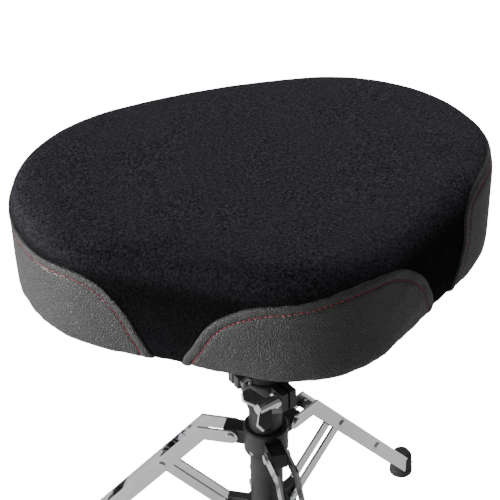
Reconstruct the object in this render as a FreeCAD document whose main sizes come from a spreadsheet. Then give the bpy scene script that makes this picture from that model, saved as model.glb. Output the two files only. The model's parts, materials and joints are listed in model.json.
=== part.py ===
import FreeCAD, Part
import math
import os
import Sketcher
from FreeCAD import Placement, Rotation, Vector

# Drum throne: a saddle seat on a height-adjustable post, held by a folding
# double-braced tripod. Millimetres, +Z up, floor at z = 0. The nose of the
# saddle points along -Y. Everything is drawn about the column axis, and the
# column stands column_y behind the origin, so that the origin is the middle
# of the whole footprint.

DIMENSIONS = {
    # saddle seat
    "seat_floor": "455",        # underside of the seat above the floor
    "wall_height": "100",       # side wall of the cushion, shoulder included
    "crown": "6",               # rise of the middle above the shoulder
    "shoulder_round": "16",
    "lobe_x": "84",             # centre of each thigh lobe
    "lobe_y": "20",
    "lobe_rad": "143.5",
    "nose_y": "-87",
    "nose_rad": "106.5",
    "rear_rad": "660",
    "cover_thick": "2",
    "board_thick": "12",
    "board_inset": "6",
    "dust_thick": "1",
    "dust_inset": "16",
    "staple_inset": "21",
    "staple_long": "9",
    "staple_wide": "1.2",
    "staple_thick": "0.6",
    # velour gaps between the vinyl side panels
    "nose_panel_half": "121",
    "nose_panel_top": "88",
    "side_panel_front": "112",
    "side_panel_top": "86",
    "rear_gap_half": "13",
    # seat bracket
    "plate_wide": "150",
    "plate_deep": "130",
    "plate_thick": "3",
    "plate_corner": "14",
    "bolt_x": "62",
    "bolt_y": "52",
    "bolt_rad": "3",
    "socket_rad": "19",
    "socket_low": "390",
    "rib_reach": "52",
    "rib_drop": "34",
    "rib_thick": "5",
    # column
    "post_rad": "14.3",
    "post_wall": "1.8",
    "post_low": "140",
    "post_top": "442",
    "tube_rad": "17.5",
    "tube_wall": "2",
    "tube_low": "9",
    "tube_top": "296",
    "run_fit": "0.05",          # radial clearance of every running fit
    # height clamp and memory lock
    "clamp_rad": "25",
    "clamp_neck": "294",        # where the casting tapers down to the tube
    "ear_reach": "40.5",
    "ear_half": "9",
    "ear_low": "290",
    "ear_split": "2.4",
    "clamp_bolt_r": "32",
    "clamp_bolt_z": "302",
    "clamp_low": "270",
    "clamp_top": "313",
    "lock_low": "313.4",
    "lock_tall": "14",
    "lock_rad": "22.5",
    "lock_ear_half": "9",
    "lock_ear_reach": "37.5",
    "lock_split": "2.4",
    "lock_bolt_r": "29.5",
    "lock_bolt_rad": "3",
    "lock_head": "5",
    # leg hub, legs and braces
    "hub_low": "212",
    "hub_tall": "32",
    "hub_rad": "23.5",
    "lug_half": "8.7",
    "pivot_r": "36",            # distance of every leg pivot from the axis
    "pivot_z": "228",
    "knee_r": "68",
    "foot_r": "250",
    "strap_end_z": "12",
    "strap_tall": "16",
    "strap_thick": "2.5",
    "leg_gap": "9",             # half the space between a leg's two straps
    "brace_gap": "5",           # half the space between a brace's two straps
    "brace_tall": "13",
    "brace_len": "95",          # pivot to pivot, and leg pivot to brace pivot
    "pin_rad": "3",
    "brace_angle": "55",        # of the line pivot-to-brace-pivot from vertical
    "collar_rad": "23",
    "collar_tall": "34",
    "slot_reach": "7",
    "collar_lug_half": "4.7",
    "foot_rad": "14",
    "foot_back": "3",           # foot centre behind the straps' ends
    "foot_tall": "34",
    # wing bolts
    "wing_bolt_rad": "4",
    "wing_hub_rad": "6.5",
    "wing_span": "23",
    "wing_thick": "5",
}

doc = FreeCAD.newDocument("drum_throne")
dims = doc.addObject("Spreadsheet::Sheet", "dims")
for row, (alias, amount) in enumerate(DIMENSIONS.items(), start=1):
    dims.set(f"A{row}", amount)
    dims.setAlias(f"A{row}", alias)
doc.recompute()

SUBPARTS = []


def size(expression):
    """Value of an expression in the sheet's aliases."""
    return float(dims.evalExpression(expression))


def bind(thing, **fields):
    for field, expression in fields.items():
        thing.setExpression(field.replace("__", "."), str(expression))


# The rear arc is tangent to both lobes, so its centre follows from them.
REAR_Y = "(dims.lobe_y - sqrt((dims.rear_rad - dims.lobe_rad) ^ 2 - dims.lobe_x ^ 2))"
# Front foot and rear of the seat reach equally far from the origin.
COLUMN_Y = f"(dims.foot_r - dims.foot_back + dims.foot_rad - dims.rear_rad - {REAR_Y}) / 2"
SEAT_TOP = "dims.seat_floor + dims.wall_height + dims.crown"


# %% small builders ---------------------------------------------------------

def cylinder(name, radius, height, at=("0", "0", "0"), along="z"):
    """A Part::Cylinder that starts at `at` and runs along +x, +y or +z."""
    solid = doc.addObject("Part::Cylinder", name)
    turns = {
        "z": Rotation(),
        "x": Rotation(Vector(0, 1, 0), 90),
        "y": Rotation(Vector(1, 0, 0), -90),
    }
    solid.Placement = Placement(Vector(), turns[along])
    bind(solid, Radius=radius, Height=height)
    bind(solid, Placement__Base__x=at[0], Placement__Base__y=at[1], Placement__Base__z=at[2])
    return solid


def box(name, low, high):
    """A Part::Box between two corners given as expressions."""
    solid = doc.addObject("Part::Box", name)
    bind(solid, Placement__Base__x=low[0], Placement__Base__y=low[1], Placement__Base__z=low[2])
    bind(
        solid,
        Length=f"({high[0]}) - ({low[0]})",
        Width=f"({high[1]}) - ({low[1]})",
        Height=f"({high[2]}) - ({low[2]})",
    )
    return solid


def fuse(name, solids):
    joined = doc.addObject("Part::MultiFuse", name)
    joined.Shapes = solids
    joined.Refine = True
    return joined


def cut(name, base, tools):
    tool = tools[0]
    if len(tools) > 1:
        tool = doc.addObject("Part::Compound", name + "_tools")
        tool.Links = tools
    result = doc.addObject("Part::Cut", name)
    result.Base = base
    result.Tool = tool
    result.Refine = True
    return result


def common(name, base, tool):
    result = doc.addObject("Part::Common", name)
    result.Base = base
    result.Tool = tool
    return result


def group(name, solids):
    gathered = doc.addObject("Part::Compound", name)
    gathered.Links = solids
    return gathered


def copy_of(name, source, turn=0.0, shift=("0", "0", "0")):
    """Another instance of a solid, turned about the column and moved."""
    link = doc.addObject("Part::Compound", name)
    link.Links = [source]
    link.Placement = Placement(Vector(), Rotation(Vector(0, 0, 1), turn))
    bind(link, Placement__Base__x=shift[0], Placement__Base__y=shift[1], Placement__Base__z=shift[2])
    return link


def polygon_sketch(body, plane, corners):
    """A closed outline on one of the body's own planes, each corner bound to the sheet."""
    outline = body.newObject("Sketcher::SketchObject", body.Name + "_outline")
    support = [f for f in body.Origin.OriginFeatures if f.Role == plane][0]
    outline.AttachmentSupport = [(support, "")]
    outline.MapMode = "FlatFace"
    places = [Vector(size(across), size(up), 0) for across, up in corners]
    count = len(places)
    for i in range(count):
        outline.addGeometry(Part.LineSegment(places[i], places[(i + 1) % count]), False)
    for i in range(count):
        outline.addConstraint(Sketcher.Constraint("Coincident", i, 2, (i + 1) % count, 1))
    for i, (across, up) in enumerate(corners):
        for kind, value, expression in (("X", places[i].x, across), ("Y", places[i].y, up)):
            index = outline.addConstraint(
                Sketcher.Constraint(f"Distance{kind}", -1, 1, i, 1, value)
            )
            outline.setExpression(f"Constraints[{index}]", expression)
    return outline


def turned(name, corners):
    """A body turned about the column axis from a half outline of (radius, height)."""
    body = doc.addObject("PartDesign::Body", name)
    outline = polygon_sketch(body, "XZ_Plane", corners)
    revolve = body.newObject("PartDesign::Revolution", name + "_turn")
    revolve.Profile = outline
    revolve.ReferenceAxis = (outline, ["V_Axis"])
    revolve.Angle = 360
    return body


def plate(name, plane, corners, thickness, symmetric=True):
    """A body padded from a polygon, by default half to each side of its plane."""
    body = doc.addObject("PartDesign::Body", name)
    outline = polygon_sketch(body, plane, corners)
    pad = body.newObject("PartDesign::Pad", name + "_pad")
    pad.Profile = outline
    if symmetric:
        pad.SideType = "Symmetric"
    bind(pad, Length=thickness)
    return body


def finish(thing, node, azimuth=0.0, shift_y=True):
    """Name a sub-part and stand it on the column axis, turned to its azimuth."""
    thing.Label = node
    thing.Placement = Placement(Vector(), Rotation(Vector(0, 0, 1), azimuth))
    if shift_y:
        thing.setExpression("Placement.Base.y", COLUMN_Y)
    SUBPARTS.append((node, thing))
    return thing


# %% saddle seat -------------------------------------------------------------

def tangent_point(centre, radius, other, other_radius):
    """Where the outer tangent line of two circles touches the first, lower right side."""
    gap = other - centre
    heading = math.atan2(gap.y, gap.x) + math.acos((radius - other_radius) / gap.Length)
    normal = Vector(math.cos(heading), math.sin(heading), 0)
    return centre + normal * radius


def saddle_outline(name, inset):
    """Closed outline of the saddle: nose, two straight waists, two lobes and the rear."""
    sketch = doc.addObject("Sketcher::SketchObject", name)
    lobe = Vector(size("dims.lobe_x"), size("dims.lobe_y"), 0)
    nose = Vector(0, size("dims.nose_y"), 0)
    rear = Vector(0, size(REAR_Y), 0)
    lobe_rad = size(f"dims.lobe_rad - {inset}")
    nose_rad = size(f"dims.nose_rad - {inset}")
    rear_rad = size(f"dims.rear_rad - {inset}")
    waist_top = tangent_point(lobe, lobe_rad, nose, nose_rad)
    waist_low = nose + (waist_top - lobe) * (nose_rad / lobe_rad)
    rear_end = rear + (lobe - rear).normalize() * rear_rad

    def mirrored(point):
        return Vector(-point.x, point.y, 0)

    def arc(centre, radius, start, end):
        circle = Part.Circle(centre, Vector(0, 0, 1), radius)
        return Part.ArcOfCircle(circle, circle.parameter(start), circle.parameter(end))

    # counter-clockwise from the nose: each piece ends where the next begins
    nose_arc, right_waist, right_lobe, rear_arc, left_lobe, left_waist = range(6)
    pieces = [
        arc(nose, nose_rad, mirrored(waist_low), waist_low),
        Part.LineSegment(waist_low, waist_top),
        arc(lobe, lobe_rad, waist_top, rear_end),
        arc(rear, rear_rad, rear_end, mirrored(rear_end)),
        arc(mirrored(lobe), lobe_rad, mirrored(rear_end), mirrored(waist_top)),
        Part.LineSegment(mirrored(waist_top), mirrored(waist_low)),
    ]
    for piece in pieces:
        sketch.addGeometry(piece, False)
    for i in range(len(pieces)):
        sketch.addConstraint(Sketcher.Constraint("Tangent", i, 2, (i + 1) % len(pieces), 1))
    rules = [
        ("Radius", (nose_arc,), f"dims.nose_rad - {inset}"),
        ("Radius", (right_lobe,), f"dims.lobe_rad - {inset}"),
        ("Radius", (left_lobe,), f"dims.lobe_rad - {inset}"),
        ("Radius", (rear_arc,), f"dims.rear_rad - {inset}"),
        ("DistanceX", (-1, 1, nose_arc, 3), "0"),
        ("DistanceY", (-1, 1, nose_arc, 3), "dims.nose_y"),
        ("DistanceX", (-1, 1, right_lobe, 3), "dims.lobe_x"),
        ("DistanceY", (-1, 1, right_lobe, 3), "dims.lobe_y"),
        ("DistanceX", (-1, 1, left_lobe, 3), "-dims.lobe_x"),
        ("DistanceY", (-1, 1, left_lobe, 3), "dims.lobe_y"),
    ]
    for kind, where, expression in rules:
        index = sketch.addConstraint(Sketcher.Constraint(kind, *where, size(expression)))
        sketch.setExpression(f"Constraints[{index}]", expression)
    return sketch


def saddle_slab(name, inset, low, height):
    """The saddle outline, inset all round, raised from a level by a height."""
    slab = doc.addObject("Part::Extrusion", name)
    slab.Base = saddle_outline(name + "_outline", inset)
    slab.DirMode = "Custom"
    slab.Dir = Vector(0, 0, 1)
    slab.Solid = True
    bind(slab, LengthFwd=height, Placement__Base__z=low)
    return slab


def crowned_saddle(name, inset):
    """The cushion with its domed top and rounded shoulder, inset all round."""
    slab = saddle_slab(
        name + "_slab", inset, "dims.seat_floor", "dims.wall_height + dims.crown"
    )
    dome = doc.addObject("Part::Sphere", name + "_dome")
    half_width = "(dims.lobe_x + dims.lobe_rad)"
    dome_rad = f"(({half_width} ^ 2 + dims.crown ^ 2) / (2 * dims.crown))"
    bind(
        dome,
        Radius=f"{dome_rad} - {inset}",
        Placement__Base__z=f"{SEAT_TOP} - {dome_rad}",
    )
    body = common(name + "_body", slab, dome)
    doc.recompute()
    top = size(f"{SEAT_TOP} - {inset} - dims.crown * 2")
    round_edges = []
    for index, edge in enumerate(body.Shape.Edges, start=1):
        if edge.BoundBox.ZMin > top:
            radius = size(f"dims.shoulder_round - {inset}")
            round_edges.append((index, radius, radius))
    rounded = doc.addObject("Part::Fillet", name)
    rounded.Base = body
    rounded.Edges = round_edges
    return rounded


def panel_prism(name, plane, corners, length, reverse=False):
    """A long prism that cuts one vinyl panel out of the cover."""
    body = plate(name, plane, corners, length, symmetric=False)
    if reverse:
        body.Tip.Reversed = True
    return body


def seat_parts():
    outer = crowned_saddle("cushion_outside", "0")
    inner = crowned_saddle("cushion_inside", "dims.cover_thick")
    board_slab = saddle_slab(
        "board_slab", "dims.board_inset", "dims.seat_floor", "dims.board_thick"
    )
    shell = cut("cover_shell", outer, [inner])
    floor = "dims.seat_floor"

    def above(height):
        return f"dims.seat_floor + {height}"

    # the nose panel is an arch seen from the front
    half = "dims.nose_panel_half"
    top = "dims.nose_panel_top"
    arch = [
        (f"{half} + 1", f"{floor} - 1"),
        (half, floor),
        (f"{half} * 0.975", above(f"{top} * 0.17")),
        (f"{half} * 0.91", above(f"{top} * 0.36")),
        (f"{half} * 0.83", above(f"{top} * 0.56")),
        (f"{half} * 0.735", above(f"{top} * 0.705")),
        (f"{half} * 0.64", above(f"{top} * 0.80")),
        (f"{half} * 0.51", above(f"{top} * 0.885")),
        (f"{half} * 0.38", above(f"{top} * 0.935")),
        (f"{half} * 0.20", above(f"{top} * 0.98")),
        ("0", above(top)),
    ]
    other_half = [(f"-({across})", up) for across, up in reversed(arch[:-1])]
    nose_prism = panel_prism("nose_prism", "XZ_Plane", arch + other_half, "300")
    # each side panel runs from the waist round the lobe to the middle of the rear
    front = "dims.side_panel_front"
    side_top = "dims.side_panel_top"
    side = [
        ("dims.lobe_rad * 2", f"{floor} - 1"),
        (f"-({front})", f"{floor} - 1"),
        (f"-({front})", floor),
        (f"-({front}) + 5", above(f"{side_top} * 0.30")),
        (f"-({front}) + 9", above(f"{side_top} * 0.52")),
        (f"-({front}) + 15", above(f"{side_top} * 0.74")),
        (f"-({front}) + 24", above(f"{side_top} * 0.89")),
        (f"-({front}) + 38", above(f"{side_top} * 0.97")),
        (f"-({front}) + 60", above(side_top)),
        ("dims.lobe_rad * 2", above(side_top)),
    ]
    right_prism = panel_prism("right_prism", "YZ_Plane", side, "300")
    left_prism = panel_prism("left_prism", "YZ_Plane", side, "300", reverse=True)
    bind(right_prism, Placement__Base__x="dims.rear_gap_half")
    bind(left_prism, Placement__Base__x="-dims.rear_gap_half")
    finish(common("nose_panel", shell, nose_prism), "nose_panel")
    finish(common("right_panel", shell, right_prism), "right_side_panel")
    finish(common("left_panel", shell, left_prism), "left_side_panel")
    finish(cut("top_cover", shell, [nose_prism, right_prism, left_prism]), "seat_top_cover")
    finish(cut("foam_core", inner, [board_slab]), "foam_core")
    return board_slab


board_slab = seat_parts()


def bolt_places():
    return [(x, y) for x in ("dims.bolt_x", "-dims.bolt_x") for y in ("dims.bolt_y", "-dims.bolt_y")]


def at_bolts(name, make):
    """One solid at each of the four bracket bolts."""
    return [make(f"{name}_{i}", x, y) for i, (x, y) in enumerate(bolt_places(), start=1)]


def rounded_slab(name, wide, deep, corner, low, thick):
    """A flat plate with rounded corners, centred on the column."""
    body = doc.addObject("PartDesign::Body", name)
    half_x = f"({wide}) / 2"
    half_y = f"({deep}) / 2"
    corners = [(half_x, half_y), (f"-{half_x}", half_y), (f"-{half_x}", f"-{half_y}"),
               (half_x, f"-{half_y}")]
    outline = polygon_sketch(body, "XY_Plane", corners)
    pad = body.newObject("PartDesign::Pad", name + "_pad")
    pad.Profile = outline
    bind(pad, Length=thick)
    doc.recompute()
    uprights = [
        f"Edge{i}" for i, edge in enumerate(pad.Shape.Edges, start=1)
        if abs(edge.tangentAt(edge.FirstParameter).z) > 0.99
    ]
    fillet = body.newObject("PartDesign::Fillet", name + "_corners")
    fillet.Base = (pad, uprights)
    bind(fillet, Radius=corner)
    bind(body, Placement__Base__z=low)
    return body


BOLT_HOLE = "dims.bolt_rad + 0.25"
PLATE_LOW = "dims.seat_floor - dims.dust_thick - dims.plate_thick"


def board_parts():
    """Plywood board, its dust cover, the staples of the cover and the threaded inserts."""
    inserts = at_bolts("insert_hole", lambda name, x, y: cylinder(
        name, "dims.bolt_rad + 1.5", "dims.board_thick", (x, y, "dims.seat_floor")))
    finish(cut("board_drilled", board_slab, inserts), "seat_board")

    dust = saddle_slab(
        "dust_slab", "dims.dust_inset", "dims.seat_floor - dims.dust_thick", "dims.dust_thick"
    )
    dust_holes = at_bolts("dust_hole", lambda name, x, y: cylinder(
        name, BOLT_HOLE, "dims.dust_thick", (x, y, "dims.seat_floor - dims.dust_thick")))
    finish(cut("dust_drilled", dust, dust_holes), "dust_cover")

    sleeves = at_bolts("sleeve", lambda name, x, y: cylinder(
        name, "dims.bolt_rad + 1.5", "dims.board_thick - 1.5", (x, y, "dims.seat_floor + 1.5")))
    rims = at_bolts("rim", lambda name, x, y: cylinder(
        name, "dims.bolt_rad + 1.5", "1.5", (x, y, "dims.seat_floor")))
    threads = at_bolts("thread", lambda name, x, y: cylinder(
        name, "dims.bolt_rad", "dims.board_thick", (x, y, "dims.seat_floor")))
    nuts = cut("tee_nut_bodies", group("tee_nut_blanks", [
        fuse(f"tee_nut_blank_{i}", [sleeve, rim])
        for i, (sleeve, rim) in enumerate(zip(sleeves, rims), start=1)
    ]), threads)
    finish(nuts, "tee_nuts")

    staples = []
    staple_count = 40
    path = saddle_outline("staple_path", "dims.staple_inset")
    doc.recompute()
    places = path.Shape.Wires[0].discretize(staple_count + 1)[:-1]
    for i, place in enumerate(places):
        ahead = places[(i + 1) % staple_count] - places[i - 1]
        heading = math.degrees(math.atan2(ahead.y, ahead.x))
        staple = box(
            f"staple_{i}",
            ("-dims.staple_long / 2", "-dims.staple_wide / 2",
             "dims.seat_floor - dims.dust_thick - dims.staple_thick"),
            ("dims.staple_long / 2", "dims.staple_wide / 2", "dims.seat_floor - dims.dust_thick"),
        )
        staples.append(copy_of(f"staple_placed_{i}", staple, turn=heading,
                               shift=(str(place.x), str(place.y), "0")))
    finish(group("staples", staples), "cover_staples")


def bracket_parts():
    """Pressed plate with a welded socket and ribs, bolted up into the board."""
    slab = rounded_slab(
        "bracket_plate", "dims.plate_wide", "dims.plate_deep", "dims.plate_corner",
        PLATE_LOW, "dims.plate_thick",
    )
    socket_tall = f"{PLATE_LOW} - dims.socket_low"
    socket = cylinder("socket", "dims.socket_rad", socket_tall, ("0", "0", "dims.socket_low"))
    ribs = []
    for i, azimuth in enumerate((45, 135, 225, 315)):
        corners = [
            ("dims.socket_rad - 2", PLATE_LOW),
            ("dims.socket_rad - 2", f"{PLATE_LOW} - dims.rib_drop"),
            ("dims.socket_rad + 3", f"{PLATE_LOW} - dims.rib_drop"),
            ("dims.rib_reach", f"{PLATE_LOW} - 4"),
            ("dims.rib_reach", PLATE_LOW),
        ]
        rib = plate(f"rib_{i}", "XZ_Plane", corners, "dims.rib_thick")
        ribs.append(copy_of(f"rib_turned_{i}", rib, turn=azimuth))
    boss = cylinder("socket_boss", "9", "dims.socket_rad + 9",
                    ("0", "0", "dims.socket_low + 20"), along="y")
    boss_turned = copy_of("socket_boss_turned", boss, turn=SEAT_WING_AZIMUTH - 90)
    blank = fuse("bracket_blank", [slab, socket, boss_turned] + ribs)
    bore = cylinder("socket_bore", "dims.post_rad + dims.run_fit", "dims.post_top - dims.socket_low",
                    ("0", "0", "dims.socket_low"))
    relief = cylinder("socket_relief", "dims.post_rad - 2", "40", ("0", "0", "dims.post_top - 1"))
    thread = cylinder("socket_thread", "dims.wing_bolt_rad", "60",
                      ("0", "0", "dims.socket_low + 20"), along="y")
    thread_turned = copy_of("socket_thread_turned", thread, turn=SEAT_WING_AZIMUTH - 90)
    holes = at_bolts("plate_hole", lambda name, x, y: cylinder(
        name, BOLT_HOLE, "dims.plate_thick", (x, y, PLATE_LOW)))
    finish(cut("bracket", blank, [bore, relief, thread_turned] + holes), "seat_bracket")

    washer_low = f"{PLATE_LOW} - 1.5"
    blanks = at_bolts("washer_blank", lambda name, x, y: cylinder(name, "7", "1.5", (x, y, washer_low)))
    eyes = at_bolts("washer_eye", lambda name, x, y: cylinder(
        name, BOLT_HOLE, "1.5", (x, y, washer_low)))
    finish(cut("washers", group("washer_blanks", blanks), eyes), "bracket_washers")

    heads = at_bolts("bolt_head", lambda name, x, y: cylinder(
        name, "5.4", "4.2", (x, y, f"{washer_low} - 4.2")))
    shanks = at_bolts("bolt_shank", lambda name, x, y: cylinder(
        name, "dims.bolt_rad", f"dims.seat_floor + dims.board_thick - 1 - ({washer_low})",
        (x, y, washer_low)))
    sockets = at_bolts("bolt_socket", lambda name, x, y: hex_prism(
        name, "2.6", "2.4", (x, y, f"{washer_low} - 4.2")))
    bolts = [
        fuse(f"bolt_{i}", [head, shank])
        for i, (head, shank) in enumerate(zip(heads, shanks), start=1)
    ]
    finish(cut("bracket_bolts", group("bolt_blanks", bolts), sockets), "bracket_bolts")


def hex_prism(name, circumradius, height, at):
    prism = doc.addObject("Part::Prism", name)
    prism.Polygon = 6
    bind(prism, Circumradius=circumradius, Height=height)
    bind(prism, Placement__Base__x=at[0], Placement__Base__y=at[1], Placement__Base__z=at[2])
    return prism


def wing_bolt(node, azimuth, level, tip, shoulder, stand_off="0", aside="0", roll=90.0):
    """A wing bolt along +Y before turning: shank from tip to shoulder, hub, and two wings.

    The wings start stand_off further out than the shoulder. They lie flat at roll 0 and stand
    upright at roll 90.
    """
    root = f"{shoulder} + {stand_off}"
    shank = cylinder(node + "_shank", "dims.wing_bolt_rad - 0.1", f"{root} - ({tip}) + 14",
                     (aside, tip, level), along="y")
    collar = cylinder(node + "_collar", "dims.wing_bolt_rad + 4", "3",
                      (aside, shoulder, level), along="y")
    hub = cylinder(node + "_hub", "dims.wing_hub_rad", f"14 + {stand_off}",
                   (aside, f"{shoulder} + 3", level), along="y")
    neck = "dims.wing_hub_rad - 0.5"
    span = "dims.wing_span"
    half = [
        (f"{root} + 4", neck),
        (f"{root} + 14", span),
        (f"{root} + 23", f"{span} - 1"),
        (f"{root} + 26", f"{span} - 9"),
        (f"{root} + 17", "dims.wing_hub_rad / 2"),
    ]
    outline = [(across, along) for along, across in half]
    outline += [(f"-({across})", along) for along, across in reversed(half)]
    wings = plate(node + "_wings", "XY_Plane", outline, "dims.wing_thick")
    doc.recompute()
    pad = wings.Tip
    corners = [
        f"Edge{i}" for i, edge in enumerate(pad.Shape.Edges, start=1)
        if abs(edge.tangentAt(edge.FirstParameter).z) > 0.99
    ]
    round_over = wings.newObject("PartDesign::Fillet", node + "_round")
    round_over.Base = (pad, corners)
    bind(round_over, Radius="dims.wing_thick / 3")
    wings.Placement = Placement(Vector(), Rotation(Vector(0, 1, 0), roll))
    bind(wings, Placement__Base__x=aside, Placement__Base__z=level)
    finish(fuse(node + "_all", [shank, collar, hub, wings]), node, azimuth - 90)


SEAT_WING_AZIMUTH = 90.0
CLAMP_EAR_AZIMUTH = -71.0
HEIGHT_WING_ROLL = -35.0
LOCK_AZIMUTH = 195.0
COLLAR_WING_AZIMUTH = 90.0

board_parts()
bracket_parts()
wing_bolt("seat_wing_bolt", SEAT_WING_AZIMUTH, "dims.socket_low + 20",
          "dims.post_rad + 0.3", "dims.socket_rad + 9.3")


# %% column: base tube, height clamp, memory lock and post --------------------

def radial_bolt_hole(name, radius, level, azimuth, start="0", length="60"):
    """A round hole that leaves the column at an azimuth."""
    hole = cylinder(name, radius, length, ("0", start, level), along="y")
    return copy_of(name + "_turned", hole, turn=azimuth - 90)


def radial_block(name, low, high, azimuth):
    """A box drawn along +Y from the column, turned to an azimuth."""
    block = box(name, low, high)
    return copy_of(name + "_turned", block, turn=azimuth - 90)


def column_parts():
    tube = turned("base_tube_body", [
        ("dims.tube_rad - dims.tube_wall", "dims.tube_low"),
        ("dims.tube_rad", "dims.tube_low"),
        ("dims.tube_rad", "dims.tube_top"),
        ("dims.tube_rad - dims.tube_wall", "dims.tube_top"),
    ])
    finish(tube, "base_tube")
    cap = turned("tube_cap_body", [
        ("0", "dims.tube_low - 3"),
        ("dims.tube_rad - 1.5", "dims.tube_low - 3"),
        ("dims.tube_rad", "dims.tube_low - 1.5"),
        ("dims.tube_rad", "dims.tube_low"),
        ("dims.tube_rad - dims.tube_wall", "dims.tube_low"),
        ("dims.tube_rad - dims.tube_wall", "dims.tube_low + 12"),
        ("0", "dims.tube_low + 12"),
    ])
    finish(cap, "tube_bottom_cap")
    bushing = turned("bushing_body", [
        ("dims.post_rad + dims.run_fit", "dims.tube_top - 45"),
        ("dims.tube_rad - dims.tube_wall", "dims.tube_top - 45"),
        ("dims.tube_rad - dims.tube_wall", "dims.tube_top"),
        ("dims.tube_rad", "dims.tube_top"),
        ("dims.tube_rad", "dims.tube_top + 2.5"),
        ("dims.post_rad + dims.run_fit", "dims.tube_top + 2.5"),
    ])
    finish(bushing, "clamp_bushing")


def clamp_parts():
    """Cast split clamp on the tube's top, drawn together by a wing bolt across its ears."""
    casting = turned("clamp_casting", [
        ("dims.tube_rad", "dims.clamp_low"),
        ("dims.tube_rad + 1.5", "dims.clamp_low"),
        ("dims.clamp_rad", "dims.clamp_neck"),
        ("dims.clamp_rad", "dims.clamp_top - 1.5"),
        ("dims.clamp_rad - 1.5", "dims.clamp_top"),
        ("dims.post_rad + 0.4", "dims.clamp_top"),
        ("dims.post_rad + 0.4", "dims.tube_top + 2.5"),
        ("dims.tube_rad", "dims.tube_top + 2.5"),
    ])
    ears = radial_block(
        "clamp_ears", ("-dims.ear_half", "dims.tube_rad + 1", "dims.ear_low"),
        ("dims.ear_half", "dims.ear_reach", "dims.clamp_top - 1"), CLAMP_EAR_AZIMUTH)
    web = plate("clamp_web", "YZ_Plane", [
        ("dims.tube_rad + 1", "dims.ear_low"),
        ("dims.tube_rad + 1", "dims.ear_low - 16"),
        ("dims.ear_reach", "dims.ear_low"),
    ], "2 * dims.ear_half")
    web_turned = copy_of("clamp_web_turned", web, turn=CLAMP_EAR_AZIMUTH - 90)
    split = radial_block(
        "clamp_split", ("-dims.ear_split / 2", "dims.tube_rad - 4", "dims.clamp_low - 1"),
        ("dims.ear_split / 2", "dims.ear_reach + 1", "dims.clamp_top + 1"), CLAMP_EAR_AZIMUTH)
    hole = cylinder("clamp_hole", "dims.wing_bolt_rad", "2 * dims.ear_half + 2",
                    ("-dims.ear_half - 1", "dims.clamp_bolt_r", "dims.clamp_bolt_z"), along="x")
    hole_turned = copy_of("clamp_hole_turned", hole, turn=CLAMP_EAR_AZIMUTH - 90)
    inside = cylinder("clamp_inside", "dims.tube_rad", "dims.tube_top + 2.5 - dims.clamp_low",
                      ("0", "0", "dims.clamp_low"))
    blank = fuse("clamp_blank", [casting, ears, web_turned])
    finish(cut("clamp", blank, [split, hole_turned, inside]), "height_clamp")
    wing_bolt("height_wing_bolt", CLAMP_EAR_AZIMUTH - 90, "dims.clamp_bolt_z",
              "-dims.ear_half", "dims.ear_half + 0.3",
              stand_off="7", aside="-dims.clamp_bolt_r", roll=HEIGHT_WING_ROLL)

    # split ring on the post that repeats a height setting
    ring = turned("lock_ring", [
        ("dims.post_rad", "dims.lock_low"),
        ("dims.lock_rad", "dims.lock_low"),
        ("dims.lock_rad", "dims.lock_low + dims.lock_tall - 1.5"),
        ("dims.lock_rad - 1.5", "dims.lock_low + dims.lock_tall"),
        ("dims.post_rad", "dims.lock_low + dims.lock_tall"),
    ])
    lock_top = "dims.lock_low + dims.lock_tall"
    ears = radial_block(
        "lock_ears", ("-dims.lock_ear_half", "dims.post_rad + 3", "dims.lock_low"),
        ("dims.lock_ear_half", "dims.lock_ear_reach", lock_top), LOCK_AZIMUTH)
    split = radial_block(
        "lock_split", ("-dims.lock_split / 2", "dims.post_rad - 3", "dims.lock_low - 1"),
        ("dims.lock_split / 2", "dims.lock_ear_reach + 1", f"{lock_top} + 1"), LOCK_AZIMUTH)
    level = "dims.lock_low + dims.lock_tall / 2"

    def along_bolt(name, radius, start, length):
        return cylinder(name, radius, length, (start, "dims.lock_bolt_r", level), along="x")

    hole = along_bolt("lock_hole", "dims.lock_bolt_rad + 0.1", "-dims.lock_ear_half - 1",
                      "2 * dims.lock_ear_half + 2")
    hole_turned = copy_of("lock_hole_turned", hole, turn=LOCK_AZIMUTH - 90)
    inside = cylinder("lock_inside", "dims.post_rad", "dims.lock_tall + 2",
                      ("0", "0", "dims.lock_low - 1"))
    finish(cut("lock", fuse("lock_blank", [ring, ears]), [split, hole_turned, inside]), "memory_lock")
    head_start = "dims.lock_ear_half"
    square_start = "dims.lock_ear_half + dims.lock_head"
    nut_start = "-dims.lock_ear_half - dims.lock_head"
    shank = along_bolt("lock_shank", "dims.lock_bolt_rad", f"{nut_start} + 1",
                       f"{head_start} - ({nut_start}) + 1")
    head = along_bolt("lock_head", "2 * dims.lock_bolt_rad", head_start, "dims.lock_head")
    square = box("lock_square", (square_start, "dims.lock_bolt_r - 2.5", f"{level} - 2.5"),
                 (f"{square_start} + 8", "dims.lock_bolt_r + 2.5", f"{level} + 2.5"))
    nut = hex_prism("lock_nut_blank", "2 * dims.lock_bolt_rad + 0.2", "dims.lock_head", ("0", "0", "0"))
    nut.Placement = Placement(Vector(), Rotation(Vector(0, 1, 0), 90))
    bind(nut, Placement__Base__x=nut_start, Placement__Base__y="dims.lock_bolt_r",
         Placement__Base__z=level)
    nut_hole = along_bolt("lock_nut_hole", "dims.lock_bolt_rad", f"{nut_start} - 1",
                          "dims.lock_head + 2")
    finish(fuse("lock_bolt", [shank, head, square]), "memory_lock_bolt", LOCK_AZIMUTH - 90)
    finish(cut("lock_nut", nut, [nut_hole]), "memory_lock_nut", LOCK_AZIMUTH - 90)

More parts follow.
